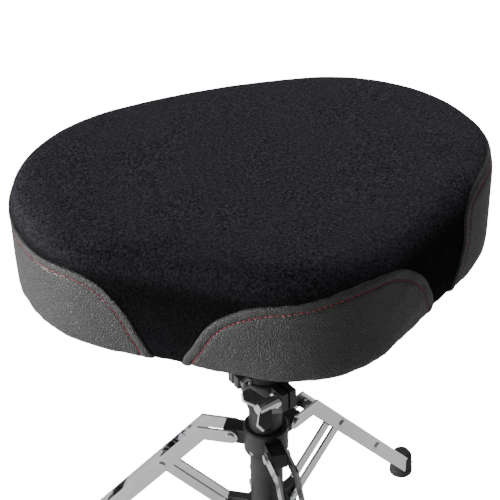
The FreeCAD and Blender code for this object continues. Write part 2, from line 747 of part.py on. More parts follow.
    post = turned("post_body", [
        ("dims.post_rad - dims.post_wall", "dims.post_low"),
        ("dims.post_rad", "dims.post_low"),
        ("dims.post_rad", "dims.post_top"),
        ("dims.post_rad - dims.post_wall", "dims.post_top"),
    ])
    finish(post, "seat_post")
    plug = turned("post_plug_body", [
        ("0", "dims.post_low - 3"),
        ("dims.post_rad", "dims.post_low - 3"),
        ("dims.post_rad", "dims.post_low"),
        ("dims.post_rad - dims.post_wall", "dims.post_low"),
        ("dims.post_rad - dims.post_wall", "dims.post_low + 14"),
        ("0", "dims.post_low + 14"),
    ])
    finish(plug, "post_end_plug")
    top_plug = turned("post_top_body", [
        ("0", "dims.post_top - 10"),
        ("dims.post_rad - dims.post_wall", "dims.post_top - 10"),
        ("dims.post_rad - dims.post_wall", "dims.post_top"),
        ("0", "dims.post_top"),
    ])
    finish(top_plug, "post_top_plug")


# %% tripod: hub, sliding collar, legs and braces -----------------------------

BRACE_PIVOT_R = "(dims.pivot_r + dims.brace_len * sin(dims.brace_angle * 1 deg))"
BRACE_PIVOT_Z = "(dims.pivot_z - dims.brace_len * cos(dims.brace_angle * 1 deg))"
COLLAR_Z = "(dims.pivot_z - 2 * dims.brace_len * cos(dims.brace_angle * 1 deg))"
LEG_AZIMUTHS = {"front_leg": 270.0, "right_leg": 30.0, "left_leg": 150.0}


def cross_pin(name, radius, half_length, r, z):
    """A round bar across the leg's plane."""
    return cylinder(name, radius, f"2 * ({half_length})", (r, f"-({half_length})", z), along="y")


def three_lugs(name, reach, half_width, low, high, hole):
    """Lugs for the three legs, drawn along +X and turned; `hole` makes each lug's opening."""
    lugs = []
    holes = []
    for i, azimuth in enumerate(LEG_AZIMUTHS.values()):
        lug = box(f"{name}_lug_{i}", ("dims.tube_rad + 1", f"-({half_width})", low),
                  (reach, half_width, high))
        lugs.append(copy_of(f"{name}_lug_turned_{i}", lug, turn=azimuth))
        holes.append(copy_of(f"{name}_hole_turned_{i}", hole(f"{name}_hole_{i}"), turn=azimuth))
    return lugs, holes


def hub_parts():
    """Fixed hub on the base tube that carries the three leg pivots."""
    top = "dims.hub_low + dims.hub_tall"
    ring = turned("hub_ring", [
        ("dims.tube_rad", "dims.hub_low"),
        ("dims.hub_rad - 1.5", "dims.hub_low"),
        ("dims.hub_rad", "dims.hub_low + 1.5"),
        ("dims.hub_rad", f"{top} - 1.5"),
        ("dims.hub_rad - 1.5", top),
        ("dims.tube_rad", top),
    ])
    lugs, holes = three_lugs(
        "hub", "dims.pivot_r + 8", "dims.lug_half", "dims.pivot_z - 9", "dims.pivot_z + 9",
        lambda name: cross_pin(name, "dims.pin_rad", "12", "dims.pivot_r", "dims.pivot_z"))
    screws = []
    screw_holes = []
    for i, azimuth in enumerate((90, 210, 330)):
        level = "dims.hub_low + 5"
        screw = cylinder(f"hub_screw_blank_{i}", "2.5", "dims.hub_rad - dims.tube_rad - 0.5",
                         ("0", "dims.tube_rad", level), along="y")
        screws.append(copy_of(f"hub_screw_{i}", screw, turn=azimuth - 90))
        screw_holes.append(radial_bolt_hole(f"hub_screw_hole_{i}", "2.5", level, azimuth))
    finish(cut("hub", fuse("hub_blank", [ring] + lugs), holes + screw_holes), "leg_hub")
    finish(group("hub_screws_all", screws), "hub_screws")

    pins = []
    half = "dims.leg_gap + dims.strap_thick + 0.3"
    for i, azimuth in enumerate(LEG_AZIMUTHS.values()):
        shank = cross_pin(f"hub_pin_shank_{i}", "dims.pin_rad", half, "dims.pivot_r", "dims.pivot_z")
        heads = [
            cylinder(f"hub_pin_head_{i}_{side}", "dims.pin_rad + 2", "2",
                     ("dims.pivot_r", start, "dims.pivot_z"), along="y")
            for side, start in enumerate((f"{half}", f"-({half}) - 2"))
        ]
        pins.append(copy_of(f"hub_pin_turned_{i}", fuse(f"hub_pin_{i}", [shank] + heads), turn=azimuth))
    finish(group("hub_pins_all", pins), "hub_pins")


def collar_parts():
    """Sliding collar at the braces' lower ends, with upright slots for their pins."""
    half = "dims.collar_tall / 2"
    low = f"{COLLAR_Z} - {half}"
    top = f"{COLLAR_Z} + {half}"
    ring = turned("collar_ring", [
        ("dims.tube_rad + dims.run_fit", low),
        ("dims.collar_rad - 1.5", low),
        ("dims.collar_rad", f"{low} + 1.5"),
        ("dims.collar_rad", f"{top} - 1.5"),
        ("dims.collar_rad - 1.5", top),
        ("dims.tube_rad + dims.run_fit", top),
    ])

    def slot(name):
        rad = "(dims.pin_rad + dims.run_fit)"
        ends = [
            cross_pin(f"{name}_{i}", rad, "12", "dims.pivot_r", f"{COLLAR_Z} {sign} dims.slot_reach")
            for i, sign in enumerate(("-", "+"))
        ]
        middle = box(name + "_middle",
                     (f"dims.pivot_r - {rad}", "-12", f"{COLLAR_Z} - dims.slot_reach"),
                     (f"dims.pivot_r + {rad}", "12", f"{COLLAR_Z} + dims.slot_reach"))
        return fuse(name, ends + [middle])

    lugs, slots = three_lugs("collar", "dims.pivot_r + 7", "dims.collar_lug_half", low, top, slot)
    boss = radial_bolt_hole("collar_boss", "8", COLLAR_Z, COLLAR_WING_AZIMUTH,
                            "dims.tube_rad + 1", "dims.collar_rad - dims.tube_rad + 7")
    thread = radial_bolt_hole("collar_thread", "dims.wing_bolt_rad", COLLAR_Z, COLLAR_WING_AZIMUTH)
    inside = cylinder("collar_inside", "dims.tube_rad + dims.run_fit", "dims.collar_tall + 2",
                      ("0", "0", f"{low} - 1"))
    finish(cut("collar", fuse("collar_blank", [ring, boss] + lugs), slots + [thread, inside]),
           "brace_collar")
    wing_bolt("collar_wing_bolt", COLLAR_WING_AZIMUTH, COLLAR_Z,
              "dims.tube_rad + 0.3", "dims.collar_rad + 8.3")


def strap_pair(name, outline, ends, half_tall, inner, holes):
    """Two parallel flat straps cut from one bar, with rounded ends and cross holes."""
    outer = f"{inner} + dims.strap_thick"
    bar = plate(name + "_bar", "XZ_Plane", outline, f"2 * ({outer})")
    rounds = [
        cross_pin(f"{name}_round_{i}", half_tall, outer, r, z) for i, (r, z) in enumerate(ends)
    ]
    space = box(name + "_space", ("0", f"-({inner})", "-60"), ("dims.foot_r + 60", inner, "300"))
    drills = [
        cross_pin(f"{name}_drill_{i}", radius, f"{outer} + 1", r, z)
        for i, (radius, r, z) in enumerate(holes)
    ]
    return cut(name, fuse(name + "_blank", [bar] + rounds), [space] + drills)


def leg_parts(leg, azimuth):
    """A leg's two chrome straps, its rubber foot, spacer and brace pivot pin."""
    half = "dims.strap_tall / 2"
    slope = "atan((dims.pivot_z - dims.strap_end_z) / (dims.foot_r - dims.knee_r))"
    mitre = f"({half} * tan({slope} / 2))"
    rise = f"({half} * cos({slope}))"
    run = f"({half} * sin({slope}))"
    outline = [
        ("dims.pivot_r", f"dims.pivot_z + {half}"),
        (f"dims.knee_r + {mitre}", f"dims.pivot_z + {half}"),
        (f"dims.foot_r + {run}", f"dims.strap_end_z + {rise}"),
        (f"dims.foot_r - {run}", f"dims.strap_end_z - {rise}"),
        (f"dims.knee_r - {mitre}", f"dims.pivot_z - {half}"),
        ("dims.pivot_r", f"dims.pivot_z - {half}"),
    ]
    rivet_part = 0.62
    rivet_r = f"(dims.knee_r + {rivet_part} * (dims.foot_r - dims.knee_r))"
    rivet_z = f"(dims.pivot_z - {rivet_part} * (dims.pivot_z - dims.strap_end_z))"
    running = "dims.pin_rad + dims.run_fit"
    straps = strap_pair(
        leg + "_pair", outline, [("dims.pivot_r", "dims.pivot_z")], half, "dims.leg_gap",
        [(running, "dims.pivot_r", "dims.pivot_z"),
         ("dims.pin_rad", BRACE_PIVOT_R, BRACE_PIVOT_Z),
         ("dims.pin_rad", rivet_r, rivet_z)])
    finish(group(leg + "_straps_all", [straps]), leg + "_straps", azimuth)
    outer = "dims.leg_gap + dims.strap_thick"

    def headed_pin(name, r, z):
        shank = cross_pin(name + "_shank", "dims.pin_rad", outer, r, z)
        heads = [
            cylinder(f"{name}_head_{side}", "dims.pin_rad + 2", "2", (r, start, z), along="y")
            for side, start in enumerate((outer, f"-({outer}) - 2"))
        ]
        return fuse(name, [shank] + heads)

    brace_pin = headed_pin(leg + "_brace_pin", BRACE_PIVOT_R, BRACE_PIVOT_Z)
    rivet = headed_pin(leg + "_rivet", rivet_r, rivet_z)
    finish(group(leg + "_pins_all", [brace_pin, rivet]), leg + "_pins", azimuth)

    def sleeve(name, half_length, r, z):
        blank = cross_pin(name + "_blank", "dims.pin_rad + 2.5", half_length, r, z)
        eye = cross_pin(name + "_eye", "dims.pin_rad", f"{half_length} + 1", r, z)
        return cut(name, blank, [eye])

    finish(group(leg + "_spacers_all", [
        sleeve(leg + "_brace_spacer", "dims.brace_gap - 0.1", BRACE_PIVOT_R, BRACE_PIVOT_Z),
        sleeve(leg + "_rivet_spacer", "dims.leg_gap", rivet_r, rivet_z),
    ]), leg + "_spacers", azimuth)

    foot = turned(leg + "_foot_body", [
        ("0", "0"),
        ("dims.foot_rad - 2.5", "0"),
        ("dims.foot_rad", "2.5"),
        ("dims.foot_rad", "9"),
        ("dims.foot_rad - 1.2", "11"),
        ("dims.foot_rad - 1.2", "dims.foot_tall - 6"),
        ("dims.foot_rad - 5", "dims.foot_tall"),
        ("0", "dims.foot_tall"),
    ])
    standing = copy_of(leg + "_foot_standing", foot, shift=("dims.foot_r - dims.foot_back", "0", "0"))
    finish(cut(leg + "_foot_slotted", standing, [straps]), leg + "_foot", azimuth)


def brace_parts(brace, azimuth):
    """A brace's two straps and the pin that rides in the collar's slot."""
    half = "dims.brace_tall / 2"
    lean = "(90 deg - dims.brace_angle * 1 deg)"
    across = f"({half} * sin({lean}))"
    up = f"({half} * cos({lean}))"
    outline = [
        (f"dims.pivot_r - {across}", f"{COLLAR_Z} + {up}"),
        (f"{BRACE_PIVOT_R} - {across}", f"{BRACE_PIVOT_Z} + {up}"),
        (f"{BRACE_PIVOT_R} + {across}", f"{BRACE_PIVOT_Z} - {up}"),
        (f"dims.pivot_r + {across}", f"{COLLAR_Z} - {up}"),
    ]
    running = "dims.pin_rad + dims.run_fit"
    ends = [("dims.pivot_r", COLLAR_Z), (BRACE_PIVOT_R, BRACE_PIVOT_Z)]
    straps = strap_pair(
        brace + "_pair", outline, ends, half, "dims.brace_gap",
        [("dims.pin_rad", "dims.pivot_r", COLLAR_Z),
         (running, BRACE_PIVOT_R, BRACE_PIVOT_Z)])
    finish(straps, brace + "_straps", azimuth)
    outer = "dims.brace_gap + dims.strap_thick"
    shank = cross_pin(brace + "_pin_shank", "dims.pin_rad", outer, "dims.pivot_r", COLLAR_Z)
    heads = [
        cylinder(f"{brace}_pin_head_{side}", "dims.pin_rad + 1.8", "1.3",
                 ("dims.pivot_r", start, COLLAR_Z), along="y")
        for side, start in enumerate((outer, f"-({outer}) - 1.3"))
    ]
    finish(fuse(brace + "_pin_all", [shank] + heads), brace + "_pin", azimuth)


column_parts()
clamp_parts()
hub_parts()
collar_parts()
for leg_name, leg_azimuth in LEG_AZIMUTHS.items():
    leg_parts(leg_name, leg_azimuth)
    brace_parts(leg_name.replace("leg", "brace"), leg_azimuth)


# %% check the model and write one file per sub-part --------------------------

doc.recompute()
failed = [
    thing.Name for thing in doc.Objects
    if any(state in ("Invalid", "Error") for state in thing.State)
]
if failed:
    raise RuntimeError(f"features that did not build: {failed}")
for node, thing in SUBPARTS:
    if thing.Shape.isNull() or not thing.Shape.isValid() or not thing.Shape.Solids:
        raise RuntimeError(f"{node} has no sound solid")

os.makedirs("parts", exist_ok=True)
for node, thing in SUBPARTS:
    thing.Shape.exportStep(f"parts/{node}.step")
    print(f"{node}: {len(thing.Shape.Solids)} solid(s), {thing.Shape.Volume / 1000:.1f} cm3")
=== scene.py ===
import json
import math
import bmesh
import bpy
from mathutils import Matrix, Vector
from mathutils.bvhtree import BVHTree


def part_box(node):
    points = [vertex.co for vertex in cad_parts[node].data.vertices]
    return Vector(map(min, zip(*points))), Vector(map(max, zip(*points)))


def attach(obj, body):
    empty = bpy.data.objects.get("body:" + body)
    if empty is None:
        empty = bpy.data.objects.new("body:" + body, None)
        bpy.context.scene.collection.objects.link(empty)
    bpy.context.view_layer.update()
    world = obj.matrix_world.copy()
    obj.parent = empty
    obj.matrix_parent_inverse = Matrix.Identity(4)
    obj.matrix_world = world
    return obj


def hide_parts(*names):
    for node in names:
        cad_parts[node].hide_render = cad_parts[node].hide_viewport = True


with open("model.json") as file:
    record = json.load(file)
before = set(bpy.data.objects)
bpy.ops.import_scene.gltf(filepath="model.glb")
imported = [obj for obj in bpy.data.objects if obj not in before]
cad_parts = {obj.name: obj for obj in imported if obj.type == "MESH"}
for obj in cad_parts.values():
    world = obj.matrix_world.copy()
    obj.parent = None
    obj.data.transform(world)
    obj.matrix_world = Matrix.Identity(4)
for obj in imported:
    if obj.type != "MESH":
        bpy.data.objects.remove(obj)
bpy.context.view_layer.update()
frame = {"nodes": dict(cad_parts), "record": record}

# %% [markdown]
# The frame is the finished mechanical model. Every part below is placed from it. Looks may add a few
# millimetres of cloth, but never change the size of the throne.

MM = 0.001

# %% [markdown]
# The seat is a saddle: a nose, two straight waists, two thigh lobes and a nearly straight rear. The
# cover's panels, hems and stitches all follow that outline, so it is described once, as arcs and
# lines that meet tangentially, and walked by the distance along it. Distances start at the middle of
# the nose and run towards the throne's +X side.

# %% The saddle's outline
LOBE_X, LOBE_Y, LOBE_RADIUS = 84 * MM, 20 * MM, 143.5 * MM
NOSE_Y, NOSE_RADIUS = -87 * MM, 106.5 * MM
REAR_RADIUS = 660 * MM

post_low, post_high = (Vector(corner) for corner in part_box("seat_post"))
COLUMN = (post_low + post_high) / 2
board_low, board_high = (Vector(corner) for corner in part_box("seat_board"))
SEAT_FLOOR = board_low.z
SEAT_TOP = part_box("seat_top_cover")[1][2]
CROWN = 6 * MM
SHOULDER = 16 * MM
HALF_WIDTH = LOBE_X + LOBE_RADIUS

lobe = Vector((LOBE_X, LOBE_Y))
nose = Vector((0, NOSE_Y))
rear = Vector((0, LOBE_Y - math.sqrt((REAR_RADIUS - LOBE_RADIUS) ** 2 - LOBE_X ** 2)))
to_nose = nose - lobe
waist_heading = math.atan2(to_nose.y, to_nose.x) + math.acos(
    (LOBE_RADIUS - NOSE_RADIUS) / to_nose.length)
to_lobe = lobe - rear
rear_heading = math.atan2(to_lobe.y, to_lobe.x)
waist_normal = Vector((math.cos(waist_heading), math.sin(waist_heading)))
NOSE_RUN = NOSE_RADIUS * (waist_heading + math.pi / 2)
WAIST_RUN = ((lobe + waist_normal * LOBE_RADIUS) - (nose + waist_normal * NOSE_RADIUS)).length
LOBE_RUN = LOBE_RADIUS * (rear_heading - waist_heading)
REAR_RUN = REAR_RADIUS * (math.pi / 2 - rear_heading)
HALF_RUN = NOSE_RUN + WAIST_RUN + LOBE_RUN + REAR_RUN


def outline(distance):
    """Point on the outline and the outward normal there, from the column axis, in plan."""
    side = 1 if distance >= 0 else -1
    run = min(abs(distance), 2 * HALF_RUN - abs(distance))
    side = side if abs(distance) <= HALF_RUN else -side
    if run <= NOSE_RUN:
        heading = -math.pi / 2 + run / NOSE_RADIUS
        centre, radius = nose, NOSE_RADIUS
    elif run <= NOSE_RUN + WAIST_RUN:
        heading = waist_heading
        along = Vector((-waist_normal.y, waist_normal.x)) * (run - NOSE_RUN)
        centre, radius = nose + along, NOSE_RADIUS
    elif run <= NOSE_RUN + WAIST_RUN + LOBE_RUN:
        heading = waist_heading + (run - NOSE_RUN - WAIST_RUN) / LOBE_RADIUS
        centre, radius = lobe, LOBE_RADIUS
    else:
        heading = rear_heading + (run - NOSE_RUN - WAIST_RUN - LOBE_RUN) / REAR_RADIUS
        centre, radius = rear, REAR_RADIUS
    normal = Vector((math.cos(heading), math.sin(heading)))
    point = centre + normal * radius
    return Vector((side * point.x, point.y)), Vector((side * normal.x, normal.y))


print(f"half outline {HALF_RUN:.3f} m: nose {NOSE_RUN:.3f}, waist {WAIST_RUN:.3f}, "
      f"lobe {LOBE_RUN:.3f}, rear {REAR_RUN:.3f}")

# %% [markdown]
# Distance round the outline and height up the wall make a pair of "cover coordinates", like the flat
# pattern that an upholsterer draws. This function wraps the pattern on the cushion: up the wall, over
# the rounded shoulder on to the crown, and for heights below zero round the lower edge and under.

# %% From the flat pattern to the cushion
LOWER_ROUND = 5 * MM


def wall_top(point):
    """Height of the crown above the seat's floor over a plan point."""
    return SEAT_TOP - SEAT_FLOOR - CROWN * (point.length / HALF_WIDTH) ** 2


def on_cushion(distance, height):
    """A pattern point on the cushion's surface, and the direction straight out of it."""
    point, normal = outline(distance)
    top = wall_top(point)
    upper = top - SHOULDER
    inset, rise, lean = 0.0, height, 0.0
    if height > upper:
        lean = min((height - upper) / SHOULDER, math.pi / 2)
        beyond = height - upper - lean * SHOULDER
        inset = SHOULDER * (1 - math.cos(lean)) + beyond
        rise = upper + SHOULDER * math.sin(lean)
    elif height < LOWER_ROUND:
        lean = max((height - LOWER_ROUND) / LOWER_ROUND, -math.pi / 2)
        beyond = LOWER_ROUND - height + lean * LOWER_ROUND
        inset = LOWER_ROUND * (1 - math.cos(lean)) + beyond
        rise = LOWER_ROUND + LOWER_ROUND * math.sin(lean)
    plan = point - normal * inset
    out = Vector((normal.x * math.cos(lean), normal.y * math.cos(lean), math.sin(lean)))
    return Vector((COLUMN.x + plan.x, COLUMN.y + plan.y, SEAT_FLOOR + rise)), out


print("nose, half way up:", [round(v, 4) for v in on_cushion(0, 0.05)[0]])

# %% [markdown]
# Modelling runs through Blender's own operators, which act on whatever is selected. The frame's parts
# arrive selected, so these helpers first clear the selection. They take hold of one object, apply a
# modifier, and copy parts of the frame. The last step of each piece is the same: its place goes into
# its mesh, and it gets its material and the body it rides on.

# %% Helpers for selecting and finishing


def only(thing):
    """Select one object and make it active."""
    bpy.ops.object.select_all(action="DESELECT")
    thing.select_set(True)
    bpy.context.view_layer.objects.active = thing


def modify(thing, kind, **settings):
    """Add a modifier with some settings and apply it."""
    only(thing)
    modifier = thing.modifiers.new(kind.lower(), kind)
    for key, value in settings.items():
        setattr(modifier, key, value)
    bpy.ops.object.modifier_apply(modifier=modifier.name)


def finished(thing, name, material, body, slot, replaced=()):
    """Put a piece's place in its mesh, and say what it is made of and rides on."""
    only(thing)
    bpy.ops.object.transform_apply(location=True, rotation=True, scale=True)
    thing.name = name
    thing.data.name = name
    thing.data.materials.clear()
    thing.data.materials.append(material)
    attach(thing, body)
    if replaced:
        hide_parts(*replaced)
    print(f"{name}: {len(thing.data.polygons)} faces")


def copy_of_nodes(nodes, name):
    """One new object with the meshes of two or more frame nodes, their doubles merged."""
    bpy.ops.object.select_all(action="DESELECT")
    copies = []
    for node in nodes:
        copied = frame["nodes"][node].copy()
        copied.data = frame["nodes"][node].data.copy()
        copied.parent = None
        for key in list(copied.keys()):
            del copied[key]
        bpy.context.scene.collection.objects.link(copied)
        copies.append(copied)
    for copied in copies:
        copied.select_set(True)
    bpy.context.view_layer.objects.active = copies[0]
    bpy.ops.object.join()
    joined = bpy.context.view_layer.objects.active
    joined.name = name
    bpy.ops.object.mode_set(mode="EDIT")
    bpy.ops.mesh.select_all(action="SELECT")
    bpy.ops.mesh.remove_doubles(threshold=0.01 * MM)
    bpy.ops.object.mode_set(mode="OBJECT")
    return joined


print("helpers: only, modify, finished, copy_of_nodes")

# %% [markdown]
# Materials. Black velour, grained vinyl, chrome, powder coat, rubber, nylon and zinc plate share a few
# effects: fine grain, soft stains of handling, and dust. Each effect is a node group with named
# inputs, built once, and each material places it with its own values.

# %% Node helpers


def new_group(name, inputs, outputs):
    """An empty shader node group with its sockets; gives the tree and its two end nodes."""
    tree = bpy.data.node_groups.new(name, "ShaderNodeTree")
    for socket, kind, value in inputs:
        made = tree.interface.new_socket(name=socket, in_out="INPUT", socket_type=kind)
        made.default_value = value
    for socket, kind in outputs:
        tree.interface.new_socket(name=socket, in_out="OUTPUT", socket_type=kind)
    return tree, tree.nodes.new("NodeGroupInput"), tree.nodes.new("NodeGroupOutput")


def add_node(tree, kind, **settings):
    """A node with its properties set, and its inputs where the name is an input's."""
    node = tree.nodes.new(kind)
    for key, value in settings.items():
        if key.startswith("in_"):
            node.inputs[key[3:].replace("_", " ")].default_value = value
        else:
            setattr(node, key, value)
    return node


def math_node(tree, operation, first, second):
    """A Math node whose two operands are sockets or numbers; gives its output."""
    node = add_node(tree, "ShaderNodeMath", operation=operation)
    for index, operand in enumerate((first, second)):
        if isinstance(operand, (int, float)):
            node.inputs[index].default_value = operand
        else:
            tree.links.new(operand, node.inputs[index])
    return node.outputs[0]


def ramp(tree, value, low, high, interpolation="SMOOTHSTEP", **targets):
    """A value spread between two limits, from 0 to 1 unless targets say otherwise; gives its output."""
    node = add_node(tree, "ShaderNodeMapRange", interpolation_type=interpolation, **targets)
    for socket, limit in (("From Min", low), ("From Max", high)):
        if isinstance(limit, (int, float)):
            node.inputs[socket].default_value = limit
        else:
            tree.links.new(limit, node.inputs[socket])
    tree.links.new(value, node.inputs["Value"])
    return node.outputs["Result"]


def mix_colour(tree, factor, dark, light):
    """A colour mix; each operand is a socket or a value."""
    node = add_node(tree, "ShaderNodeMix", data_type="RGBA")
    for socket, operand in ((node.inputs[0], factor), (node.inputs[6], dark), (node.inputs[7], light)):
        if hasattr(operand, "links"):
            tree.links.new(operand, socket)
        else:
            socket.default_value = operand
    return node.outputs[2]


VALUE, VECTOR = "NodeSocketFloat", "NodeSocketVector"
print("node helpers: new_group, add_node, math_node, ramp, mix_colour")

# %% [markdown]
# Grained vinyl is a smooth film pressed with a pebble pattern: rounded cells about 2 mm across with
# narrow creases between them. A Voronoi texture's distance to its cell edges has that shape once its
# coordinates are pushed about by noise, so that no cell is a clean polygon.

# %% Effect: pebble grain


def pebble_grain_group():
    tree, start, end = new_group(
        "pebble_grain",
        [("Vector", VECTOR, (0, 0, 0)), ("Cells per metre", VALUE, 620.0), ("Warp", VALUE, 0.0007)],
        [("Height", VALUE), ("Crease", VALUE)])
    noise = add_node(tree, "ShaderNodeTexNoise", in_Scale=260.0, in_Detail=2.0)
    tree.links.new(start.outputs["Vector"], noise.inputs["Vector"])
    centred = add_node(tree, "ShaderNodeVectorMath", operation="SUBTRACT")
    centred.inputs[1].default_value = (0.5, 0.5, 0.5)
    tree.links.new(noise.outputs["Color"], centred.inputs[0])
    pushed = add_node(tree, "ShaderNodeVectorMath", operation="MULTIPLY_ADD")
    tree.links.new(centred.outputs[0], pushed.inputs[0])
    tree.links.new(start.outputs["Warp"], pushed.inputs[1])
    tree.links.new(start.outputs["Vector"], pushed.inputs[2])
    cells = add_node(tree, "ShaderNodeTexVoronoi", feature="DISTANCE_TO_EDGE", in_Randomness=0.95)
    tree.links.new(pushed.outputs[0], cells.inputs["Vector"])
    tree.links.new(start.outputs["Cells per metre"], cells.inputs["Scale"])
    dome = ramp(tree, cells.outputs["Distance"], 0.0, 0.26)
    fine = add_node(tree, "ShaderNodeTexNoise", in_Scale=1900.0, in_Detail=1.0)
    tree.links.new(start.outputs["Vector"], fine.inputs["Vector"])
    height = math_node(tree, "ADD", dome, math_node(tree, "MULTIPLY", fine.outputs["Fac"], 0.06))
    tree.links.new(height, end.inputs["Height"])
    tree.links.new(math_node(tree, "SUBTRACT", 1.0, dome), end.inputs["Crease"])
    return tree


PEBBLE_GRAIN = pebble_grain_group()
print("effect:", PEBBLE_GRAIN.name)

# %% [markdown]
# Two quieter effects finish most surfaces. Handling leaves broad, soft patches where a surface is a
# little smoother or duller, and dust settles in specks, so both are plain noise with a soft threshold.

# %% Effects: handling and dust


def handling_group():
    tree, start, end = new_group(
        "handling",
        [("Vector", VECTOR, (0, 0, 0)), ("Patches per metre", VALUE, 14.0), ("Middle", VALUE, 0.5)],
        [("Patch", VALUE)])
    broad = add_node(tree, "ShaderNodeTexNoise", in_Detail=4.0, in_Roughness=0.6)
    tree.links.new(start.outputs["Vector"], broad.inputs["Vector"])
    tree.links.new(start.outputs["Patches per metre"], broad.inputs["Scale"])
    low = math_node(tree, "SUBTRACT", start.outputs["Middle"], 0.18)
    high = math_node(tree, "ADD", start.outputs["Middle"], 0.18)
    tree.links.new(ramp(tree, broad.outputs["Fac"], low, high), end.inputs["Patch"])
    return tree


def dust_group():
    tree, start, end = new_group(
        "dust",
        [("Vector", VECTOR, (0, 0, 0)), ("Specks per metre", VALUE, 420.0), ("Amount", VALUE, 0.3)],
        [("Dust", VALUE)])
    specks = add_node(tree, "ShaderNodeTexNoise", in_Detail=3.0, in_Roughness=0.75)
    tree.links.new(start.outputs["Vector"], specks.inputs["Vector"])
    tree.links.new(start.outputs["Specks per metre"], specks.inputs["Scale"])
    fleck = ramp(tree, specks.outputs["Fac"], 0.62, 0.78, "LINEAR")
    tree.links.new(math_node(tree, "MULTIPLY", fleck, start.outputs["Amount"]), end.inputs["Dust"])
    return tree


HANDLING = handling_group()
DUST = dust_group()
print("effects:", HANDLING.name, DUST.name)

# %% [markdown]
# Velour is a knitted cloth with a short upright pile. It has no visible weave: up close it is a fine
# fuzz, and from further away the pile lies in soft patches that catch the light differently. The pile
# group gives the height of the fuzz, and a mask of the brushed patches.

# %% Effect: pile


def pile_group():
    tree, start, end = new_group(
        "pile",
        [("Vector", VECTOR, (0, 0, 0)), ("Tufts per metre", VALUE, 480.0),
         ("Brushed per metre", VALUE, 9.0)],
        [("Fuzz", VALUE), ("Brushed", VALUE)])
    tufts = add_node(tree, "ShaderNodeTexNoise", in_Detail=3.0, in_Roughness=0.7)
    tree.links.new(start.outputs["Vector"], tufts.inputs["Vector"])
    tree.links.new(start.outputs["Tufts per metre"], tufts.inputs["Scale"])
    clumps = add_node(tree, "ShaderNodeTexNoise", in_Scale=240.0, in_Detail=2.0)
    tree.links.new(start.outputs["Vector"], clumps.inputs["Vector"])
    fuzz = math_node(tree, "MULTIPLY", ramp(tree, tufts.outputs["Fac"], 0.3, 0.7, "LINEAR"),
                     math_node(tree, "ADD", clumps.outputs["Fac"], 0.4))
    brushed = add_node(tree, "ShaderNodeTexNoise", in_Detail=5.0, in_Roughness=0.62,
                       in_Distortion=0.6)
    tree.links.new(start.outputs["Vector"], brushed.inputs["Vector"])
    tree.links.new(start.outputs["Brushed per metre"], brushed.inputs["Scale"])
    tree.links.new(fuzz, end.inputs["Fuzz"])
    tree.links.new(ramp(tree, brushed.outputs["Fac"], 0.42, 0.68), end.inputs["Brushed"])
    return tree


PILE = pile_group()
print("effect:", PILE.name)

# %% [markdown]
# A material starts from its shader. Each effect is placed in it on the piece's own coordinates, and
# its masks drive the colour, the roughness or the bump.

# %% Placing effects in a material


def new_material(name, **constants):
    """A material with a Principled shader whose constant inputs are set on its sockets."""
    material = bpy.data.materials.new(name)
    material.use_nodes = True
    tree = material.node_tree
    shader = tree.nodes["Principled BSDF"]
    for key, value in constants.items():
        shader.inputs[key.replace("_", " ")].default_value = value
    place = tree.nodes.new("ShaderNodeTexCoord")
    return material, tree, shader, place.outputs["Object"]


def effect(tree, group, place, **values):
    """A node group placed in a material on the piece's own coordinates."""
    node = add_node(tree, "ShaderNodeGroup", node_tree=group)
    tree.links.new(place, node.inputs["Vector"])
    for key, value in values.items():
        node.inputs[key.replace("_", " ")].default_value = value
    return node.outputs


def bump(tree, shader, height, strength, distance):
    """Raise the surface's shading by a height mask, over a distance in metres."""
    node = add_node(tree, "ShaderNodeBump", in_Strength=strength, in_Distance=distance)
    tree.links.new(height, node.inputs["Height"])
    tree.links.new(node.outputs["Normal"], shader.inputs["Normal"])


def scaled(tree, socket, low, high):
    """A mask spread over a range of values."""
    return math_node(tree, "ADD", math_node(tree, "MULTIPLY", socket, high - low), low)


# %% [markdown]
# The velour is nearly black with a cold cast. The fuzz goes into the colour and the bump: its tips are
# painted lighter and its deep parts darker, as painted shade between the tufts. The brushed patches lift
# the colour a little. A painted sheen makes the colour darker where the cloth faces the viewer and lighter
# towards grazing views, and painted shade makes it fade down the walls below the crown.

# %% Material: velour


def velour_material():
    material, tree, shader, place = new_material(
        "black_velour", Roughness=0.95, Specular_IOR_Level=0.03)
    pile = effect(tree, PILE, place)
    # the pile's tips are painted lighter and its deep parts darker, as painted shade between the tufts
    painted_deep_shade, painted_lit_tip, patch = (0.0008, 0.0008, 0.0011, 1), (0.090, 0.089, 0.104, 1), (0.047, 0.047, 0.056, 1)
    colour = mix_colour(tree, pile["Fuzz"], painted_deep_shade, painted_lit_tip)
    laid = mix_colour(tree, math_node(tree, "MULTIPLY", pile["Brushed"], 0.35), colour, patch)
    # painted sheen: the colour is darker where the cloth faces the viewer and lighter towards grazing
    # views
    sheen_slant = add_node(tree, "ShaderNodeLayerWeight", in_Blend=0.5)
    painted_grazing_sheen = ramp(tree, sheen_slant.outputs["Facing"], 0.08, 0.5, in_To_Min=0.45)
    # painted shade: the colour darkens from the crown down the walls
    shade_height = add_node(tree, "ShaderNodeSeparateXYZ")
    tree.links.new(place, shade_height.inputs[0])
    painted_wall_shade = ramp(tree, shade_height.outputs["Z"], SEAT_TOP - 34 * MM, SEAT_TOP - 1 * MM, in_To_Min=0.16)
    # the painted sheen times the painted shade: the share of the cloth's colour that shows
    shade = math_node(tree, "MULTIPLY", painted_grazing_sheen, painted_wall_shade)
    tree.links.new(mix_colour(tree, shade, (0, 0, 0, 1), laid), shader.inputs["Base Color"])
    bump(tree, shader, pile["Fuzz"], 0.9, 0.0009)
    return material


VELOUR = velour_material()
print("material:", VELOUR.name)
